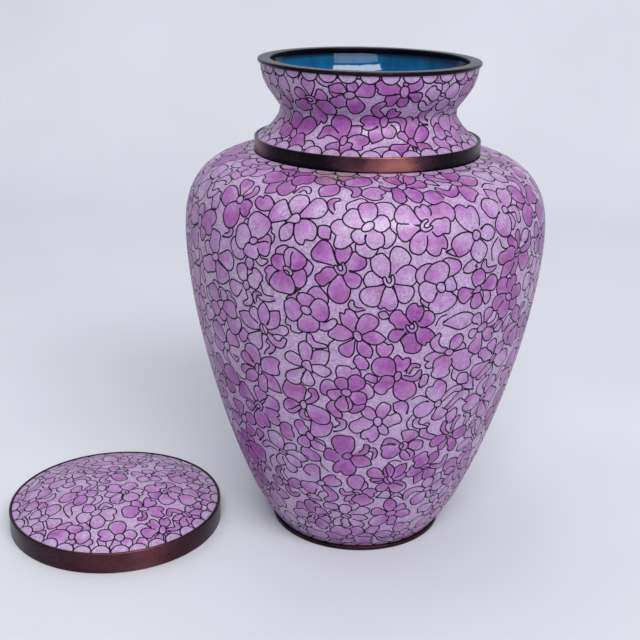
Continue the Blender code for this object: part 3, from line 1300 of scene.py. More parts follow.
class MeshMaker:
    """Gathers vertices and triangles with their matter, normals and glaze, and makes one mesh of them."""

    def __init__(self) -> None:
        """Starts with nothing."""
        self.points: list[Array] = []
        self.count = 0
        self.faces: list[Array] = []
        self.slots: list[Array] = []
        self.normals: list[Array] = []
        self.glaze: list[Array] = []

    def add_points(self, points: Array) -> Array:
        """Adds vertices.

        Args:
            points: Their places in millimetres.

        Returns:
            Their numbers.
        """
        self.points.append(points)
        self.count += len(points)
        return np.arange(self.count - len(points), self.count)

    def add_faces(self, faces: Array, slots: Array, normals: Array, glaze: Array | None = None) -> None:
        """Adds triangles.

        Args:
            faces: Three vertex numbers each.
            slots: The material slot of each.
            normals: The normal at each of their corners.
            glaze: The glaze colour at each corner, or None for black.
        """
        self.faces.append(faces)
        self.slots.append(slots)
        self.normals.append(normals)
        self.glaze.append(np.zeros((len(faces), 3, 4)) if glaze is None else glaze)

    def make(self, name: str, centre: Spot) -> bpy.types.Object:
        """Makes the object.

        Args:
            name: The piece's name.
            centre: Where its axis stands, in metres.

        Returns:
            The object, in the scene, with no material yet.
        """
        points = np.vstack(self.points) * MM + (*centre, 0)
        faces = np.vstack(self.faces)
        mesh = smooth_mesh(name, points.tolist(), faces.tolist())
        mesh.polygons.foreach_set("material_index", np.concatenate(self.slots).astype(np.int32))
        paint = mesh.color_attributes.new(name="glaze", type="FLOAT_COLOR", domain="CORNER")
        paint.data.foreach_set("color", np.vstack(self.glaze).astype(np.float32).ravel())
        normals = np.vstack(self.normals).reshape(-1, 3)
        mesh.normals_split_custom_set(normals.tolist())
        mesh.update()
        return placed(name, mesh)


def zipped(low: Array, low_turn: Array, high: Array, high_turn: Array) -> Array:
    """Joins two rings of vertices by triangles, whatever their counts.

    Args:
        low: The first ring's vertex numbers, in order of angle.
        low_turn: Their angles, rising.
        high: The second ring's vertex numbers.
        high_turn: Their angles.

    Returns:
        The triangles, facing the side that angle and path turn to.
    """
    faces = []
    i = j = 0
    low_turn = np.concatenate([low_turn, low_turn[:1] + math.tau])
    high_turn = np.concatenate([high_turn, high_turn[:1] + math.tau])
    while i < len(low) or j < len(high):
        a, b = low[i % len(low)], high[j % len(high)]
        if j >= len(high) or (i < len(low) and low_turn[i + 1] <= high_turn[j + 1]):
            faces.append((a, low[(i + 1) % len(low)], b))
            i += 1
        else:
            faces.append((a, high[(j + 1) % len(high)], b))
            j += 1
    return np.array(faces)


class Sheet:
    """The patterned outside of a wall: its chart cut into triangles along the edges of the patches."""

    # Millimetres, except that rows of open points are spaced in shares of the grid
    BORDER_STEPS = 224
    BORDER_REACH = 1.0
    GRID = 3.2
    FIRST_ROW = 0.6
    ROW_STEP = 0.87
    LAST_ROW = 0.2
    CLEAR = 0.75

    def __init__(self, chart: WallChart, patches: list[Patch]) -> None:
        """Cuts the sheet up and says what each triangle is made of.

        Args:
            chart: The surface.
            patches: Its pattern, back patches first.
        """
        self.chart = chart
        self.patches = patches
        self.flat, self.faces, self.inner = self.cut()
        middle = self.flat[self.faces].mean(1)
        cover = last_cover(middle, patches)
        wires = np.array([p.matter is Matter.WIRE for p in patches] + [False])
        self.slots = np.where(wires[cover], Matter.WIRE.value, Matter.ENAMEL.value)
        self.glaze = self.paint(cover)
        self.rings = self.border_rings()

    def visible_edges(self) -> tuple[Array, Array]:
        """Finds what nothing in front hides.

        Returns:
            The flat outline points and the edges between them.
        """
        points = np.vstack([p.outline for p in self.patches])
        counts = [len(p.outline) for p in self.patches]
        own = np.repeat(np.arange(len(counts)), counts)
        starts = np.cumsum([0, *counts[:-1]])
        loops = [np.stack([np.arange(n), np.roll(np.arange(n), -1)], 1) for n in counts]
        edges = np.vstack([loop + start for loop, start in zip(loops, starts)])
        hidden = last_cover(points, self.patches, own) >= 0
        arc = self.chart.lift(points)[1]
        hidden |= (arc <= 0) | (arc >= self.chart.meridian.length)
        edges = edges[~(hidden[edges[:, 0]] & hidden[edges[:, 1]])]
        used, fresh = np.unique(edges, return_inverse=True)
        return points[used], fresh.reshape(-1, 2)

    def grid(self, taken: Array) -> Array:
        """Lays points that keep the open areas curved.

        Args:
            taken: The flat outline points that they stay clear of.

        Returns:
            The flat points.
        """
        tree = near_tree(self.chart, taken)
        rows = []
        length = self.chart.meridian.length
        arcs = np.arange(self.GRID * self.FIRST_ROW, length - self.LAST_ROW, self.GRID * self.ROW_STEP)
        for row, arc in enumerate(arcs):
            count = max(1, round(math.tau * float(self.chart.radius(arc)) / self.GRID))
            theta = (np.arange(count) + 0.5 * (row % 2)) * math.tau / count
            rows.append(self.chart.flat(theta, np.full(count, arc)))
        flat = np.vstack(rows)
        body = surface_points(self.chart, flat)[0]
        return flat[[tree.find(p)[2] > self.CLEAR for p in body]]

    def cut(self) -> tuple[Array, Array, Array]:
        """Triangulates the flat sheet.

        Returns:
            The flat vertices, the triangles, and which vertices are open-area ones.
        """
        points, edges = self.visible_edges()
        turn = np.arange(self.BORDER_STEPS) * math.tau / self.BORDER_STEPS
        for arc in self.chart.borders():
            ring = np.arange(self.BORDER_STEPS) + len(points)
            points = np.vstack([points, self.chart.flat(turn, np.full(len(turn), arc))])
            edges = np.vstack([edges, np.stack([ring, np.roll(ring, -1)], 1)])
        open_points = self.grid(points)
        outlines = len(points)
        points = np.vstack([points, open_points])
        places = [Vector(p) for p in points]
        made = geometry.delaunay_2d_cdt(places, edges.tolist(), [], 0, SLACK, True)
        flat = np.array([tuple(v) for v in made[0]])
        faces = np.array(made[2])
        inner = np.array([bool(ids) and min(ids) >= outlines for ids in made[3]])
        arc = self.chart.lift(flat[faces].mean(1))[1]
        faces = faces[(arc > 0) & (arc < self.chart.meridian.length)]
        a, b, c = (flat[faces[:, i]] for i in range(3))
        area = (b[:, 0] - a[:, 0]) * (c[:, 1] - a[:, 1]) - (b[:, 1] - a[:, 1]) * (c[:, 0] - a[:, 0])
        faces = np.where((area < 0)[:, None], faces[:, ::-1], faces)
        used, fresh = np.unique(faces, return_inverse=True)
        faces = fresh.reshape(-1, 3)
        return flat[used], faces[:, ::-1] if self.chart.flips else faces, inner[used]

    def paint(self, cover: Array) -> Array:
        """Works out the glaze colour at each corner.

        Args:
            cover: The patch over each triangle.

        Returns:
            For each corner its tone, how far it is from a wire, and its cell's chance.
        """
        patches = [*self.patches, Patch(np.zeros((1, 2)), Matter.ENAMEL)]
        tone = np.array([p.tone for p in patches])[cover]
        slope = np.array([p.slope for p in patches])[cover]
        origin = np.array([p.origin for p in patches])[cover]
        chance = np.array([p.chance for p in patches])[cover]
        lean = ((self.flat[self.faces] - origin[:, None]) * slope[:, None]).sum(2)
        made = np.ones((len(self.faces), 3, 4))
        made[..., 0] = np.clip(tone[:, None] + lean, 0, 1)
        made[..., 1] = self.inner[self.faces]
        made[..., 2] = chance[:, None]
        return made

    def border_rings(self) -> list[Ring]:
        """Finds the vertices on the borders.

        Returns:
            The vertex numbers and angles of each border, in order of angle.
        """
        edges = np.vstack([self.faces[:, [0, 1]], self.faces[:, [1, 2]], self.faces[:, [2, 0]]])
        key = np.sort(edges, axis=1)
        alone, count = np.unique(key, axis=0, return_counts=True)
        rim = np.unique(alone[count == 1])
        theta, arc = self.chart.lift(self.flat[rim])
        arc = np.clip(arc, 0, self.chart.meridian.length)
        found = []
        for border in self.chart.borders():
            here = np.abs(arc - border) < self.BORDER_REACH
            ring, turn = rim[here], theta[here] % math.tau
            self.flat[ring] = self.chart.flat(turn, np.full(len(turn), border))
            order = np.argsort(turn)
            found.append((ring[order], turn[order]))
        return found


def smooth_profile(points: Array, sharp: float = 35.0, step: float = 4.0) -> tuple[Array, list[bool]]:
    """Makes a ring profile smooth between its sharp corners.

    Args:
        points: Radius and height of each ring in order.
        sharp: The turn, in degrees, from which a corner stays sharp.
        step: About how far apart the new rings lie on a curved stretch.

    Returns:
        The new rings, and which of them are corners.
    """
    step_out = np.diff(points, axis=0)
    way = np.degrees(np.arctan2(step_out[:, 1], step_out[:, 0]))
    turn = np.abs((np.diff(way) + 180) % 360 - 180)
    stops = [0, *(i + 1 for i in range(len(turn)) if turn[i] > sharp), len(points) - 1]
    made, corner = [points[0]], [True]
    for first, last in zip(stops, stops[1:]):
        run = points[first : last + 1]
        if len(run) > 2:
            chord = walked(run)
            at = np.linspace(0, chord[-1], max(3, int(chord[-1] / step)))
            run = np.stack([natural_spline(chord, run[:, i], at) for i in (0, 1)], 1)
        made.extend(run[1:])
        corner.extend([False] * (len(run) - 2) + [True])
    return np.array(made), corner


@dataclass
class EnamelledWall:
    """A thin turned copper wall, patterned outside and glazed plain inside: body, neck or dome."""

    name: str
    start_height: float
    seed: int
    spacing: float = 21.0
    depth: float = 1.0
    low: Arches = Arches()
    high: Arches | None = Arches()
    lining_steps: int = 144
    edge_width: float = 10.0

    def build(self, node: bpy.types.Object) -> bpy.types.Object:
        """Rebuilds the wall round the CAD node's own section.

        Args:
            node: The CAD node that it stands for.

        Returns:
            The finished piece without materials.
        """
        section = Section.of(node, self.start_height)
        meridian = Meridian(section.outer())
        rows = [(0.0, 1, self.low)]
        if self.high:
            chart = WallChart(meridian)
            rows.append((meridian.length, -1, self.high))
        else:
            chart = DomeChart(meridian)
        drawing = Drawing(chart, self.seed, self.spacing, self.depth)
        patches = drawing.draw(rows)
        sheet = Sheet(chart, patches)
        maker = MeshMaker()
        points, normals = surface_points(chart, sheet.flat)
        maker.add_points(points)
        maker.add_faces(sheet.faces, sheet.slots, normals[sheet.faces], sheet.glaze)
        bottom, top = section.outer()[0], section.outer()[-1]
        before, after = section.before(), section.after()
        if section.closed:
            self.line(maker, np.vstack([top, after, bottom]), sheet.rings[1], sheet.rings[0])
        else:
            if len(before):
                self.line(maker, np.vstack([before, bottom]), None, sheet.rings[0])
            if len(after):
                self.line(maker, np.vstack([top, after]), sheet.rings[1], None)
        made = maker.make(self.name, section.centre)
        counts = (len(drawing.spots), len(patches), len(made.data.polygons))
        log.info("%s: %d flowers, %d patches, %d triangles", self.name, *counts)
        return made

    def line(self, maker: MeshMaker, profile: Array, start: Ring | None, end: Ring | None) -> None:
        """Adds the plain rest of the wall as rings along a profile.

        Args:
            maker: What gathers the mesh.
            profile: Radius and height of each ring in order.
            start: The vertices and angles of the first ring, if it is there already, or None.
            end: The same for the last ring.
        """
        rings, corner = smooth_profile(profile)
        turn = np.arange(self.lining_steps) * math.tau / self.lining_steps
        way = np.diff(rings, axis=0)
        way /= np.hypot(way[:, 0], way[:, 1])[:, None]
        facing = np.stack([way[:, 1], -way[:, 0]], 1)
        numbers: list[Ring] = []
        for i, (radius, height) in enumerate(rings):
            if i == 0 and start:
                numbers.append(start)
            elif i == len(rings) - 1 and end:
                numbers.append(end)
            elif radius < ON_AXIS:
                numbers.append((maker.add_points(np.array([(0, 0, height)])), turn[:1]))
            else:
                level = np.full(len(turn), height)
                circle = np.stack([radius * np.cos(turn), radius * np.sin(turn), level], 1)
                numbers.append((maker.add_points(circle), turn))
        for i in range(len(rings) - 1):
            low, high = numbers[i], numbers[i + 1]
            if len(low[0]) == 1:
                faces = np.stack([np.full(len(high[0]), low[0][0]), np.roll(high[0], -1), high[0]], 1)
            elif len(high[0]) == 1:
                faces = np.stack([low[0], np.roll(low[0], -1), np.full(len(low[0]), high[0][0])], 1)
            else:
                faces = zipped(low[0], low[1], high[0], high[1])
            near = facing[i] if corner[i] or i == 0 else facing[i - 1] + facing[i]
            far = facing[i] if corner[i + 1] or i == len(rings) - 2 else facing[i] + facing[i + 1]
            near, far = near / np.hypot(*near), far / np.hypot(*far)
            spots = np.vstack(maker.points)[faces]
            angle = np.arctan2(spots[..., 1], spots[..., 0])
            if len(low[0]) == 1 or len(high[0]) == 1:
                lone = low[0][0] if len(low[0]) == 1 else high[0][0]
                others = np.where(faces == lone, np.nan, angle)
                angle = np.where(faces == lone, np.nanmean(others, axis=1, keepdims=True), angle)
            is_low = np.isin(faces, low[0])
            out = np.where(is_low, near[0], far[0])
            up = np.where(is_low, near[1], far[1])
            normals = np.stack([out * np.cos(angle), out * np.sin(angle), up], -1)
            wide = math.hypot(*(rings[i + 1] - rings[i]))
            flat = corner[i] and corner[i + 1]
            slot = Matter.EDGE if flat and wide < self.edge_width else Matter.LINING
            maker.add_faces(faces, np.full(len(faces), slot.value), normals)


# Places where the copper shows reddish, partly patina rubbed back to metal and partly painted glint, set
# where the bands face the camera and the light: X, Y, Z and reach in millimetres, and strength, below 0 where
# it is darker
# The collar's front and left-end spots paint the reddish glint of the window's reflection in the metal, with
# some real wear
COLLAR_WEAR_AND_GLINT = (
    (8.0, -54.0, 196.5, 37.0, 0.41),
    (14.0, -53.0, 194.5, 15.0, 0.32),
    (-3.0, -54.5, 201.5, 6.5, -0.12),
    (-53.0, -20.0, 199.0, 22.0, 0.36),
)
# The lid band's front spots are partly rubbed copper and partly painted glint where the band faces the camera
# and light
LID_WEAR_AND_GLINT = (
    (-108.0, -73.0, 4.0, 48.0, 0.22),
    (-100.0, -70.0, 6.0, 16.0, 0.12),
)


@dataclass
class CopperHoop:
    """A dark copper ring with softly rounded edges and the slight unevenness of hand work."""

    name: str
    steps: int = 288
    edge: float = 0.45
    uneven: float = 0.05
    sharp_degrees: float = 32.0
    seed: int = 1
    corner_steps: int = 4
    corner_share: float = 0.4

    def build(self, node: bpy.types.Object) -> bpy.types.Object:
        """Rebuilds the hoop round the CAD node's own section.

        Args:
            node: The CAD node that it stands for.

        Returns:
            The finished piece without materials.
        """
        section = Section.of(node, -1.0)
        profile = self.rounded(section.rings)
        rng = np.random.default_rng(self.seed)
        turn = np.arange(self.steps) * math.tau / self.steps
        wave = sum(rng.normal(0, 1) * np.sin(k * turn + rng.uniform(0, math.tau)) / k for k in range(2, 9))
        wave = wave / np.abs(wave).max() * self.uneven
        points = []
        middle = profile.mean(0)
        for radius, height in profile:
            far = radius - np.abs(wave) * (1 if radius > middle[0] else 0)
            points.append(np.stack([far * np.cos(turn), far * np.sin(turn), np.full(self.steps, height)], 1))
        count = len(profile)
        spots = np.vstack(points) * MM + (*section.centre, 0)
        faces = []
        for i in range(count):
            here, there = i * self.steps, (i + 1) % count * self.steps
            for j in range(self.steps):
                k = (j + 1) % self.steps
                faces.append((here + j, here + k, there + k, there + j))
        mesh = smooth_mesh(self.name, spots.tolist(), faces)
        mesh.set_sharp_from_angle(angle=math.radians(self.sharp_degrees))
        log.info("%s: %d faces", self.name, len(faces))
        return placed(self.name, mesh)

    def rounded(self, rings: Array) -> Array:
        """Rounds the corners of a closed section.

        Args:
            rings: Radius and height of each corner, in order.

        Returns:
            The section with small arcs for corners, its outside running upwards.
        """
        made = []
        for i, corner in enumerate(rings):
            before, after = rings[i - 1], rings[(i + 1) % len(rings)]
            back, on = before - corner, after - corner
            reach = min(self.edge, self.corner_share * np.hypot(*back), self.corner_share * np.hypot(*on))
            back, on = back / np.hypot(*back), on / np.hypot(*on)
            start, end = corner + back * reach, corner + on * reach
            for t in np.linspace(0, 1, self.corner_steps):
                made.append((1 - t) ** 2 * start + 2 * t * (1 - t) * corner + t**2 * end)
        return np.array(made)


# Finishes


Stops = tuple[tuple[float, str], ...]
Mark = tuple[float, float, float, float, float]
FRAY = 0.5


class Tree:
    """A material's node tree, built by adding one node at a time."""

    def __init__(self, name: str) -> None:
        """Makes an empty material.

        Args:
            name: The material's name.
        """
        self.material = bpy.data.materials.new(name)
        self.material.use_nodes = True
        self.nodes = self.material.node_tree.nodes
        self.links = self.material.node_tree.links
        self.nodes.clear()

    def add(
        self, kind: str, inputs: dict | None = None, stops: Stops = (), **settings: object
    ) -> bpy.types.Node:
        """Adds a node.

        Args:
            kind: The node's type, without "ShaderNode".
            inputs: For each socket, by name or number, a value or another node's output.
            stops: For a colour ramp, where each of its sRGB colours stands.
            settings: The node's own properties.

        Returns:
            The node.
        """
        node = self.nodes.new("ShaderNode" + kind)
        for key, value in settings.items():
            setattr(node, key, value)
        for key, value in (inputs or {}).items():
            if isinstance(value, bpy.types.NodeSocket):
                self.links.new(value, node.inputs[key])
            else:
                node.inputs[key].default_value = value
        if stops:
            band = node.color_ramp.elements
            while len(band) < len(stops):
                band.new(0.5)
            for element, (place, code) in zip(band, stops):
                element.position, element.color = place, linear(code)
        return node

    def near(
        self, place: bpy.types.NodeSocket, spot: Mark, fray: bpy.types.NodeSocket | None = None
    ) -> bpy.types.Node:
        """Says how near each point of the surface is to a marked place.

        Args:
            place: The surface's points.
            spot: The mark's X, Y, Z and reach in millimetres, and its strength.
            fray: A pattern that makes the mark's edge uneven, or None.

        Returns:
            The node whose output is the strength at the mark and fades to 0 at its reach.
        """
        x, y, z, reach, strength = spot
        mark = {0: place, 1: (x * MM, y * MM, z * MM)}
        away = self.add("VectorMath", mark, operation="DISTANCE").outputs["Value"]
        if fray is not None:
            frayed = {0: fray, 1: -FRAY * reach * MM, 2: away}
            away = self.add("Math", frayed, operation="MULTIPLY_ADD").outputs[0]
        span = {"Value": away, "From Max": reach * MM, "To Min": strength, "To Max": 0.0}
        return self.add("MapRange", span, interpolation_type="SMOOTHERSTEP")


# Brownish stains on the enamel: X, Y, Z and reach in millimetres, and strength
ENAMEL_STAINS = (
    (-13.0, -54.5, 194.5, 13.0, 0.55),
    (56.0, -12.0, 194.0, 6.5, 0.6),
    (13.1, -45.1, 213.0, 1.1, 0.8),
)


@dataclass(frozen=True)
class OpaqueEnamel:
    """Opaque lilac glass enamel, wet-packed grain by grain, fired and stoned smooth.

    To the eye it is milky and satin rather than glassy, grainy and mottled within each cell, deeper in the
    petals than in the ground, and here and there a little stained.
    """

    ground: str = "#AA90B4"
    pale: str = "#A482AF"
    petal: str = "#9B66A2"
    deep: str = "#84418A"
    stain: str = "#8C7A5E"
    # The real grains are a tenth or two of a millimetre. They are drawn as coarse as they need to be to show.
    grain_mm: float = 0.9
    cloud_mm: float = 3.2
    wave_mm: float = 9.0
    wave_depth_mm: float = 0.8
    roughness: float = 0.42

    def material(self) -> bpy.types.Material:
        """Builds the material, which reads each cell's tone from the mesh.

        Returns:
            The material.
        """
        tree = Tree("lilac_cloisonne_enamel")
        place = tree.add("TexCoord").outputs["Object"]
        glaze = tree.add("Attribute", attribute_name="glaze")
        parts = tree.add("SeparateColor", {0: glaze.outputs["Color"]})
        cloud = tree.add("TexNoise", {"Vector": place, "Scale": PER_MM / self.cloud_mm, "Detail": 3.0})
        grain = tree.add("TexNoise", {"Vector": place, "Scale": PER_MM / self.grain_mm, "Detail": 1.0})
        drift = tree.add("Math", {0: cloud.outputs["Fac"], 1: 1.10, 2: -0.55}, operation="MULTIPLY_ADD")
        fine = tree.add("Math", {0: grain.outputs["Fac"], 1: 0.90, 2: -0.45}, operation="MULTIPLY_ADD")
        inside = tree.add("Math", {0: parts.outputs["Green"], 1: 0.30, 2: 0.84}, operation="MULTIPLY_ADD")
        tone = tree.add("Math", {0: parts.outputs["Red"], 1: inside.outputs[0]}, operation="MULTIPLY")
        tone = tree.add("Math", {0: tone.outputs[0], 1: drift.outputs[0]}, operation="ADD")
        tone = tree.add("Math", {0: tone.outputs[0], 1: fine.outputs[0]}, operation="ADD")
        stops = ((0.0, self.ground), (0.2, self.pale), (0.55, self.petal), (1.0, self.deep))
        colour = tree.add("ValToRGB", {0: tone.outputs[0]}, stops).outputs[0]
        speck = tree.add("Math", {0: grain.outputs["Fac"], 1: 1.70, 2: 0.15}, operation="MULTIPLY_ADD")
        rim = tree.add("Math", {0: parts.outputs["Green"], 1: 0.08, 2: 0.94}, operation="MULTIPLY_ADD")
        light = tree.add("Math", {0: speck.outputs[0], 1: rim.outputs[0]}, operation="MULTIPLY")
        for spot in ENAMEL_STAINS:
            near = tree.near(place, spot, cloud.outputs["Fac"])
            mixed = tree.add("MixRGB", {0: near.outputs[0], 1: colour, 2: linear(self.stain)})
            colour = mixed.outputs[0]
        shade = tree.add("VectorMath", {0: colour, "Scale": light.outputs[0]}, operation="SCALE")
        wave = tree.add("TexNoise", {"Vector": place, "Scale": PER_MM / self.wave_mm, "Detail": 2.0})
        height = {"Height": wave.outputs["Fac"], "Strength": 0.10, "Distance": self.wave_depth_mm * MM}
        bump = tree.add("Bump", height)
        uneven = {0: cloud.outputs["Fac"], 1: 0.12, 2: self.roughness - 0.06}
        rough = tree.add("Math", uneven, operation="MULTIPLY_ADD")
        surface = {"Base Color": shade.outputs[0], "Roughness": rough.outputs[0], "Normal": bump.outputs[0]}
        surface |= {"IOR": 1.55, "Coat Weight": 0.10, "Coat Roughness": 0.16}
        tree.add("OutputMaterial", {0: tree.add("BsdfPrincipled", surface).outputs[0]})
        return tree.material


@dataclass(frozen=True)
class DarkenedWire:
    """Thin copper wire set on edge, ground flush and darkened by age: a dull near-black violet line."""

    dark: str = "#18061F"
    colour: str = "#200A29"
    worn: str = "#3A1A34"
    wear_mm: float = 6.0
    roughness: float = 0.50

    def material(self) -> bpy.types.Material:
        """Builds the material.

        Returns:
            The material.
        """
        tree = Tree("darkened_copper_wire")
        place = tree.add("TexCoord").outputs["Object"]
        wear = tree.add("TexNoise", {"Vector": place, "Scale": PER_MM / self.wear_mm, "Detail": 3.0})
        stops = ((0.35, self.dark), (0.6, self.colour), (0.8, self.worn))
        colour = tree.add("ValToRGB", {0: wear.outputs["Fac"]}, stops).outputs[0]
        surface = {"Base Color": colour, "Roughness": self.roughness, "Specular IOR Level": 0.12}
        tree.add("OutputMaterial", {0: tree.add("BsdfPrincipled", surface).outputs[0]})
        return tree.material


@dataclass(frozen=True)
class CounterEnamel:
    """Turquoise blue counter enamel, dipped and fired inside: very glossy and slightly uneven."""

    colour: str = "#00598B"
    deep: str = "#003B60"
    streak_mm: float = 9.0
    wave_mm: float = 8.0
    wave_depth_mm: float = 1.0

    def material(self) -> bpy.types.Material:
        """Builds the material.

        Returns:
            The material.
        """
        tree = Tree("blue_counter_enamel")
        place = tree.add("TexCoord").outputs["Object"]
        streak = tree.add("Mapping", {"Vector": place, "Scale": (1.0, 1.0, 0.3)})
        drawn_out = {"Vector": streak.outputs[0], "Scale": PER_MM / self.streak_mm, "Detail": 4.0}
        cloud = tree.add("TexNoise", drawn_out)
        stops = ((0.3, self.deep), (0.65, self.colour))
        colour = tree.add("ValToRGB", {0: cloud.outputs["Fac"]}, stops).outputs[0]
        wave = tree.add("TexNoise", {"Vector": place, "Scale": PER_MM / self.wave_mm, "Detail": 2.0})
        height = {"Height": wave.outputs["Fac"], "Strength": 0.12, "Distance": self.wave_depth_mm * MM}
        bump = tree.add("Bump", height)
        surface = {"Base Color": colour, "Roughness": 0.05, "Normal": bump.outputs[0]}
        surface |= {"Specular IOR Level": 0.40}
        tree.add("OutputMaterial", {0: tree.add("BsdfPrincipled", surface).outputs[0]})
        return tree.material


@dataclass(frozen=True)
class PatinatedCopper:
    """Copper hoop under a near-black patina, rubbed back to reddish metal in patches where hands have worn
    it, with painted glints of reddish copper at marked places that face the camera and light.
    """

    name: str = "black_patinated_copper"
    dark: str = "#140D19"
    brown: str = "#4E313E"
    # The bare colour shows in worn patches and also as the painted glint at the marked places
    bare: str = "#A66A68"
    worn: float = 0.0
    rubbed_and_glints: tuple[Mark, ...] = ()
    patch_mm: float = 20.0
    scratch_mm: float = 2.2
    scratch_depth_mm: float = 0.4

    def material(self) -> bpy.types.Material:
        """Builds the material. The patina thins in patches and along scratches, and each marked place adds
        reddish copper that is partly wear and partly painted glint.

        Returns:
            The material.
        """
        tree = Tree(self.name)
        place = tree.add("TexCoord").outputs["Object"]
        stretch = tree.add("Mapping", {"Vector": place, "Scale": (1.0, 1.0, 2.6)})
        along = stretch.outputs[0]
        patch = tree.add("TexNoise", {"Vector": along, "Scale": PER_MM / self.patch_mm, "Detail": 3.0})
        fine = tree.add("TexNoise", {"Vector": along, "Scale": PER_MM / self.scratch_mm, "Detail": 3.0})
        broad = {0: patch.outputs["Fac"], 1: 0.30, 2: self.worn - 0.025}
        wear = tree.add("Math", broad, operation="MULTIPLY_ADD")
        both = {0: fine.outputs["Fac"], 1: 0.25, 2: wear.outputs[0]}
        wear = tree.add("Math", both, operation="MULTIPLY_ADD")
        # Each marked place adds reddish copper: partly wear, partly painted glint
        for spot in self.rubbed_and_glints:
            near = tree.near(place, spot)
            wear = tree.add("Math", {0: wear.outputs[0], 1: near.outputs[0]}, operation="ADD")
        stops = ((0.27, self.dark), (0.52, self.brown), (0.85, self.bare))
        colour = tree.add("ValToRGB", {0: wear.outputs[0]}, stops).outputs[0]
        rough = tree.add("Math", {0: fine.outputs["Fac"], 1: 0.25, 2: 0.20}, operation="MULTIPLY_ADD")
        height = {"Height": fine.outputs["Fac"], "Strength": 0.10, "Distance": self.scratch_depth_mm * MM}
        bump = tree.add("Bump", height)
        surface = {"Base Color": colour, "Roughness": rough.outputs[0], "Normal": bump.outputs[0]}
        surface |= {"Metallic": 0.72, "Specular IOR Level": 0.25}
        tree.add("OutputMaterial", {0: tree.add("BsdfPrincipled", surface).outputs[0]})
        return tree.material


JAR_MIDDLE = 0.12


@dataclass(frozen=True)
class SoftWindow:
    """One soft rectangular light: direction and height in degrees, distance and size in metres, and watts."""

    azimuth: float
    height: float
    far: float
    size: Spot
    power: float
    colour: str = "#FFFFFF"

    def build(self) -> None:
        """Makes the light, which looks at the jar's middle."""
        a, e = math.radians(self.azimuth), math.radians(self.height)
        way = Vector((math.cos(a) * math.cos(e), math.sin(a) * math.cos(e), math.sin(e)))
        data = bpy.data.lights.new("window", "AREA")
        data.shape, data.size, data.size_y = "RECTANGLE", self.size[0], self.size[1]
        data.energy, data.color = self.power, linear(self.colour)[:3]
        made = placed("window", data)
        made.location = Vector((0, 0, JAR_MIDDLE)) + way * self.far
        made.rotation_mode = "QUATERNION"
        made.rotation_quaternion = (-way).to_track_quat("-Z", "Y")


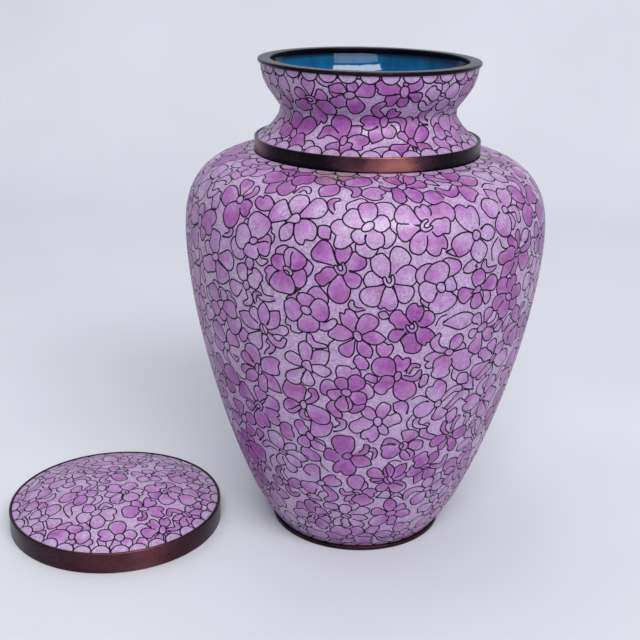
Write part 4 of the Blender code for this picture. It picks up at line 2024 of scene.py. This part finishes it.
@dataclass
class Studio:
    """A pale sweep under soft light, and the camera at the photograph's place."""

    camera_at: tuple[float, float, float] = (0.0, -0.5299, 0.2993)
    yaw: float = -0.0399
    pitch: float = 0.3465
    roll: float = 0.0189
    lens: float = 61.72
    sensor: float = 36.0
    nearest: float = 0.01
    air: str = "#DFE2E9"
    air_strength: float = 0.28
    paper: tuple[str, str] = ("#C8CAD1", "#CDCFD6")
    half_width: float = 1.8
    front: float = -1.6
    bend_starts: float = 0.62
    bend_radius: float = 0.35
    bend_steps: int = 12
    top: float = 1.6
    windows: tuple[SoftWindow, ...] = (
        SoftWindow(-72.0, 46.0, 2.8, (2.47, 0.74), 74.0),
        SoftWindow(-72.0, 26.0, 2.8, (2.47, 0.74), 15.0),
        SoftWindow(15.0, 50.0, 2.4, (2.2, 2.2), 1.5, "#FAFAFF"),
        SoftWindow(150.0, 76.0, 2.2, (2.0, 2.0), 17.5),
    )

    def build(self) -> None:
        """Makes the sweep, the lights and the camera."""
        self.camera()
        self.sweep()
        for window in self.windows:
            window.build()
        world = bpy.data.worlds.new("studio_air")
        world.use_nodes = True
        background = world.node_tree.nodes["Background"]
        background.inputs[0].default_value = linear(self.air)
        background.inputs[1].default_value = self.air_strength
        bpy.context.scene.world = world
        bpy.context.scene.view_settings.view_transform = "Standard"

    def camera(self) -> None:
        """Makes the camera."""
        yaw, pitch, roll = self.yaw, self.pitch, self.roll
        ahead = Vector((math.sin(yaw) * math.cos(pitch), math.cos(yaw) * math.cos(pitch), -math.sin(pitch)))
        right = Vector((math.cos(yaw), -math.sin(yaw), 0))
        up = right.cross(ahead)
        side = math.cos(roll) * right + math.sin(roll) * up
        top = -math.sin(roll) * right + math.cos(roll) * up
        data = bpy.data.cameras.new("camera")
        data.lens, data.sensor_width, data.clip_start = self.lens, self.sensor, self.nearest
        made = placed("camera", data)
        made.matrix_world = Matrix((side, top, -ahead)).transposed().to_4x4()
        made.location = self.camera_at
        bpy.context.scene.camera = made

    def sweep(self) -> None:
        """Makes the pale paper floor that curves up into a backdrop, dull and very faintly uneven."""
        start, bend = self.bend_starts, self.bend_radius
        profile = [(self.front, 0.0), (start, 0.0)]
        for step in range(1, self.bend_steps + 1):
            turn = step / self.bend_steps * math.pi / 2
            profile.append((start + bend * math.sin(turn), bend * (1 - math.cos(turn))))
        profile.append((start + bend, self.top))
        points = [(x, y, z) for y, z in profile for x in (-self.half_width, self.half_width)]
        faces = [(2 * i, 2 * i + 1, 2 * i + 3, 2 * i + 2) for i in range(len(profile) - 1)]
        mesh = smooth_mesh("sweep", points, faces)
        made = placed("sweep", mesh)
        tree = Tree("pale_paper")
        place = tree.add("TexCoord").outputs["Object"]
        cloud = tree.add("TexNoise", {"Vector": place, "Scale": 6.0, "Detail": 3.0})
        stops = tuple(zip((0.3, 0.7), self.paper))
        colour = tree.add("ValToRGB", {0: cloud.outputs["Fac"]}, stops).outputs[0]
        paper = tree.add("BsdfPrincipled", {"Base Color": colour, "Roughness": 0.7})
        tree.add("OutputMaterial", {0: paper.outputs[0]})
        mesh.materials.append(tree.material)


def dress(piece: bpy.types.Object, node: str, materials: list[bpy.types.Material]) -> None:
    """Gives a piece its materials and ties it to the CAD.

    Args:
        piece: The new piece.
        node: The CAD node that it stands for.
        materials: Its materials in slot order.
    """
    for material in materials:
        piece.data.materials.append(material)
    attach(piece, "root")
    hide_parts(node)


def main() -> None:
    """Builds the jar, its lid and the studio round the CAD frame."""
    logging.basicConfig(level=logging.INFO, format="%(message)s")
    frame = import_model()
    nodes = frame["nodes"]
    # The collar's and the lid's marked places paint glints as well as wear
    dark = PatinatedCopper(rubbed_and_glints=COLLAR_WEAR_AND_GLINT).material()
    brown_patina = ("#1C111C", "#4D2B34", "#7A484C")
    brown = PatinatedCopper("brown_patinated_copper", *brown_patina, worn=0.09, rubbed_and_glints=LID_WEAR_AND_GLINT).material()
    enamel = [OpaqueEnamel().material(), DarkenedWire().material(), CounterEnamel().material(), dark]
    foot_arches, mouth_arches = Arches(8.2, 2.6, 1.0, 1.3), Arches(9.2, 3.3, 0.92, 1.05)
    walls = {
        "jar_body": EnamelledWall("enamelled_body", 2.2, seed=11, spacing=23.0, low=foot_arches),
        "neck": EnamelledWall("enamelled_neck", 201.0, seed=23, spacing=22.0, high=mouth_arches),
        "lid_dome": EnamelledWall("enamelled_lid_dome", 9.5, seed=37, depth=0.68, high=None),
    }
    for node, wall in walls.items():
        dress(wall.build(nodes[node]), node, enamel)
    hoops = {"collar_band": dark, "mouth_rim": dark, "foot_ring": brown, "lid_band": brown}
    for seed, (node, copper) in enumerate(hoops.items()):
        hoop = CopperHoop("copper_" + node, seed=seed + 3)
        dress(hoop.build(nodes[node]), node, [copper])
    Studio().build()


if __name__ == "__main__":
    main()
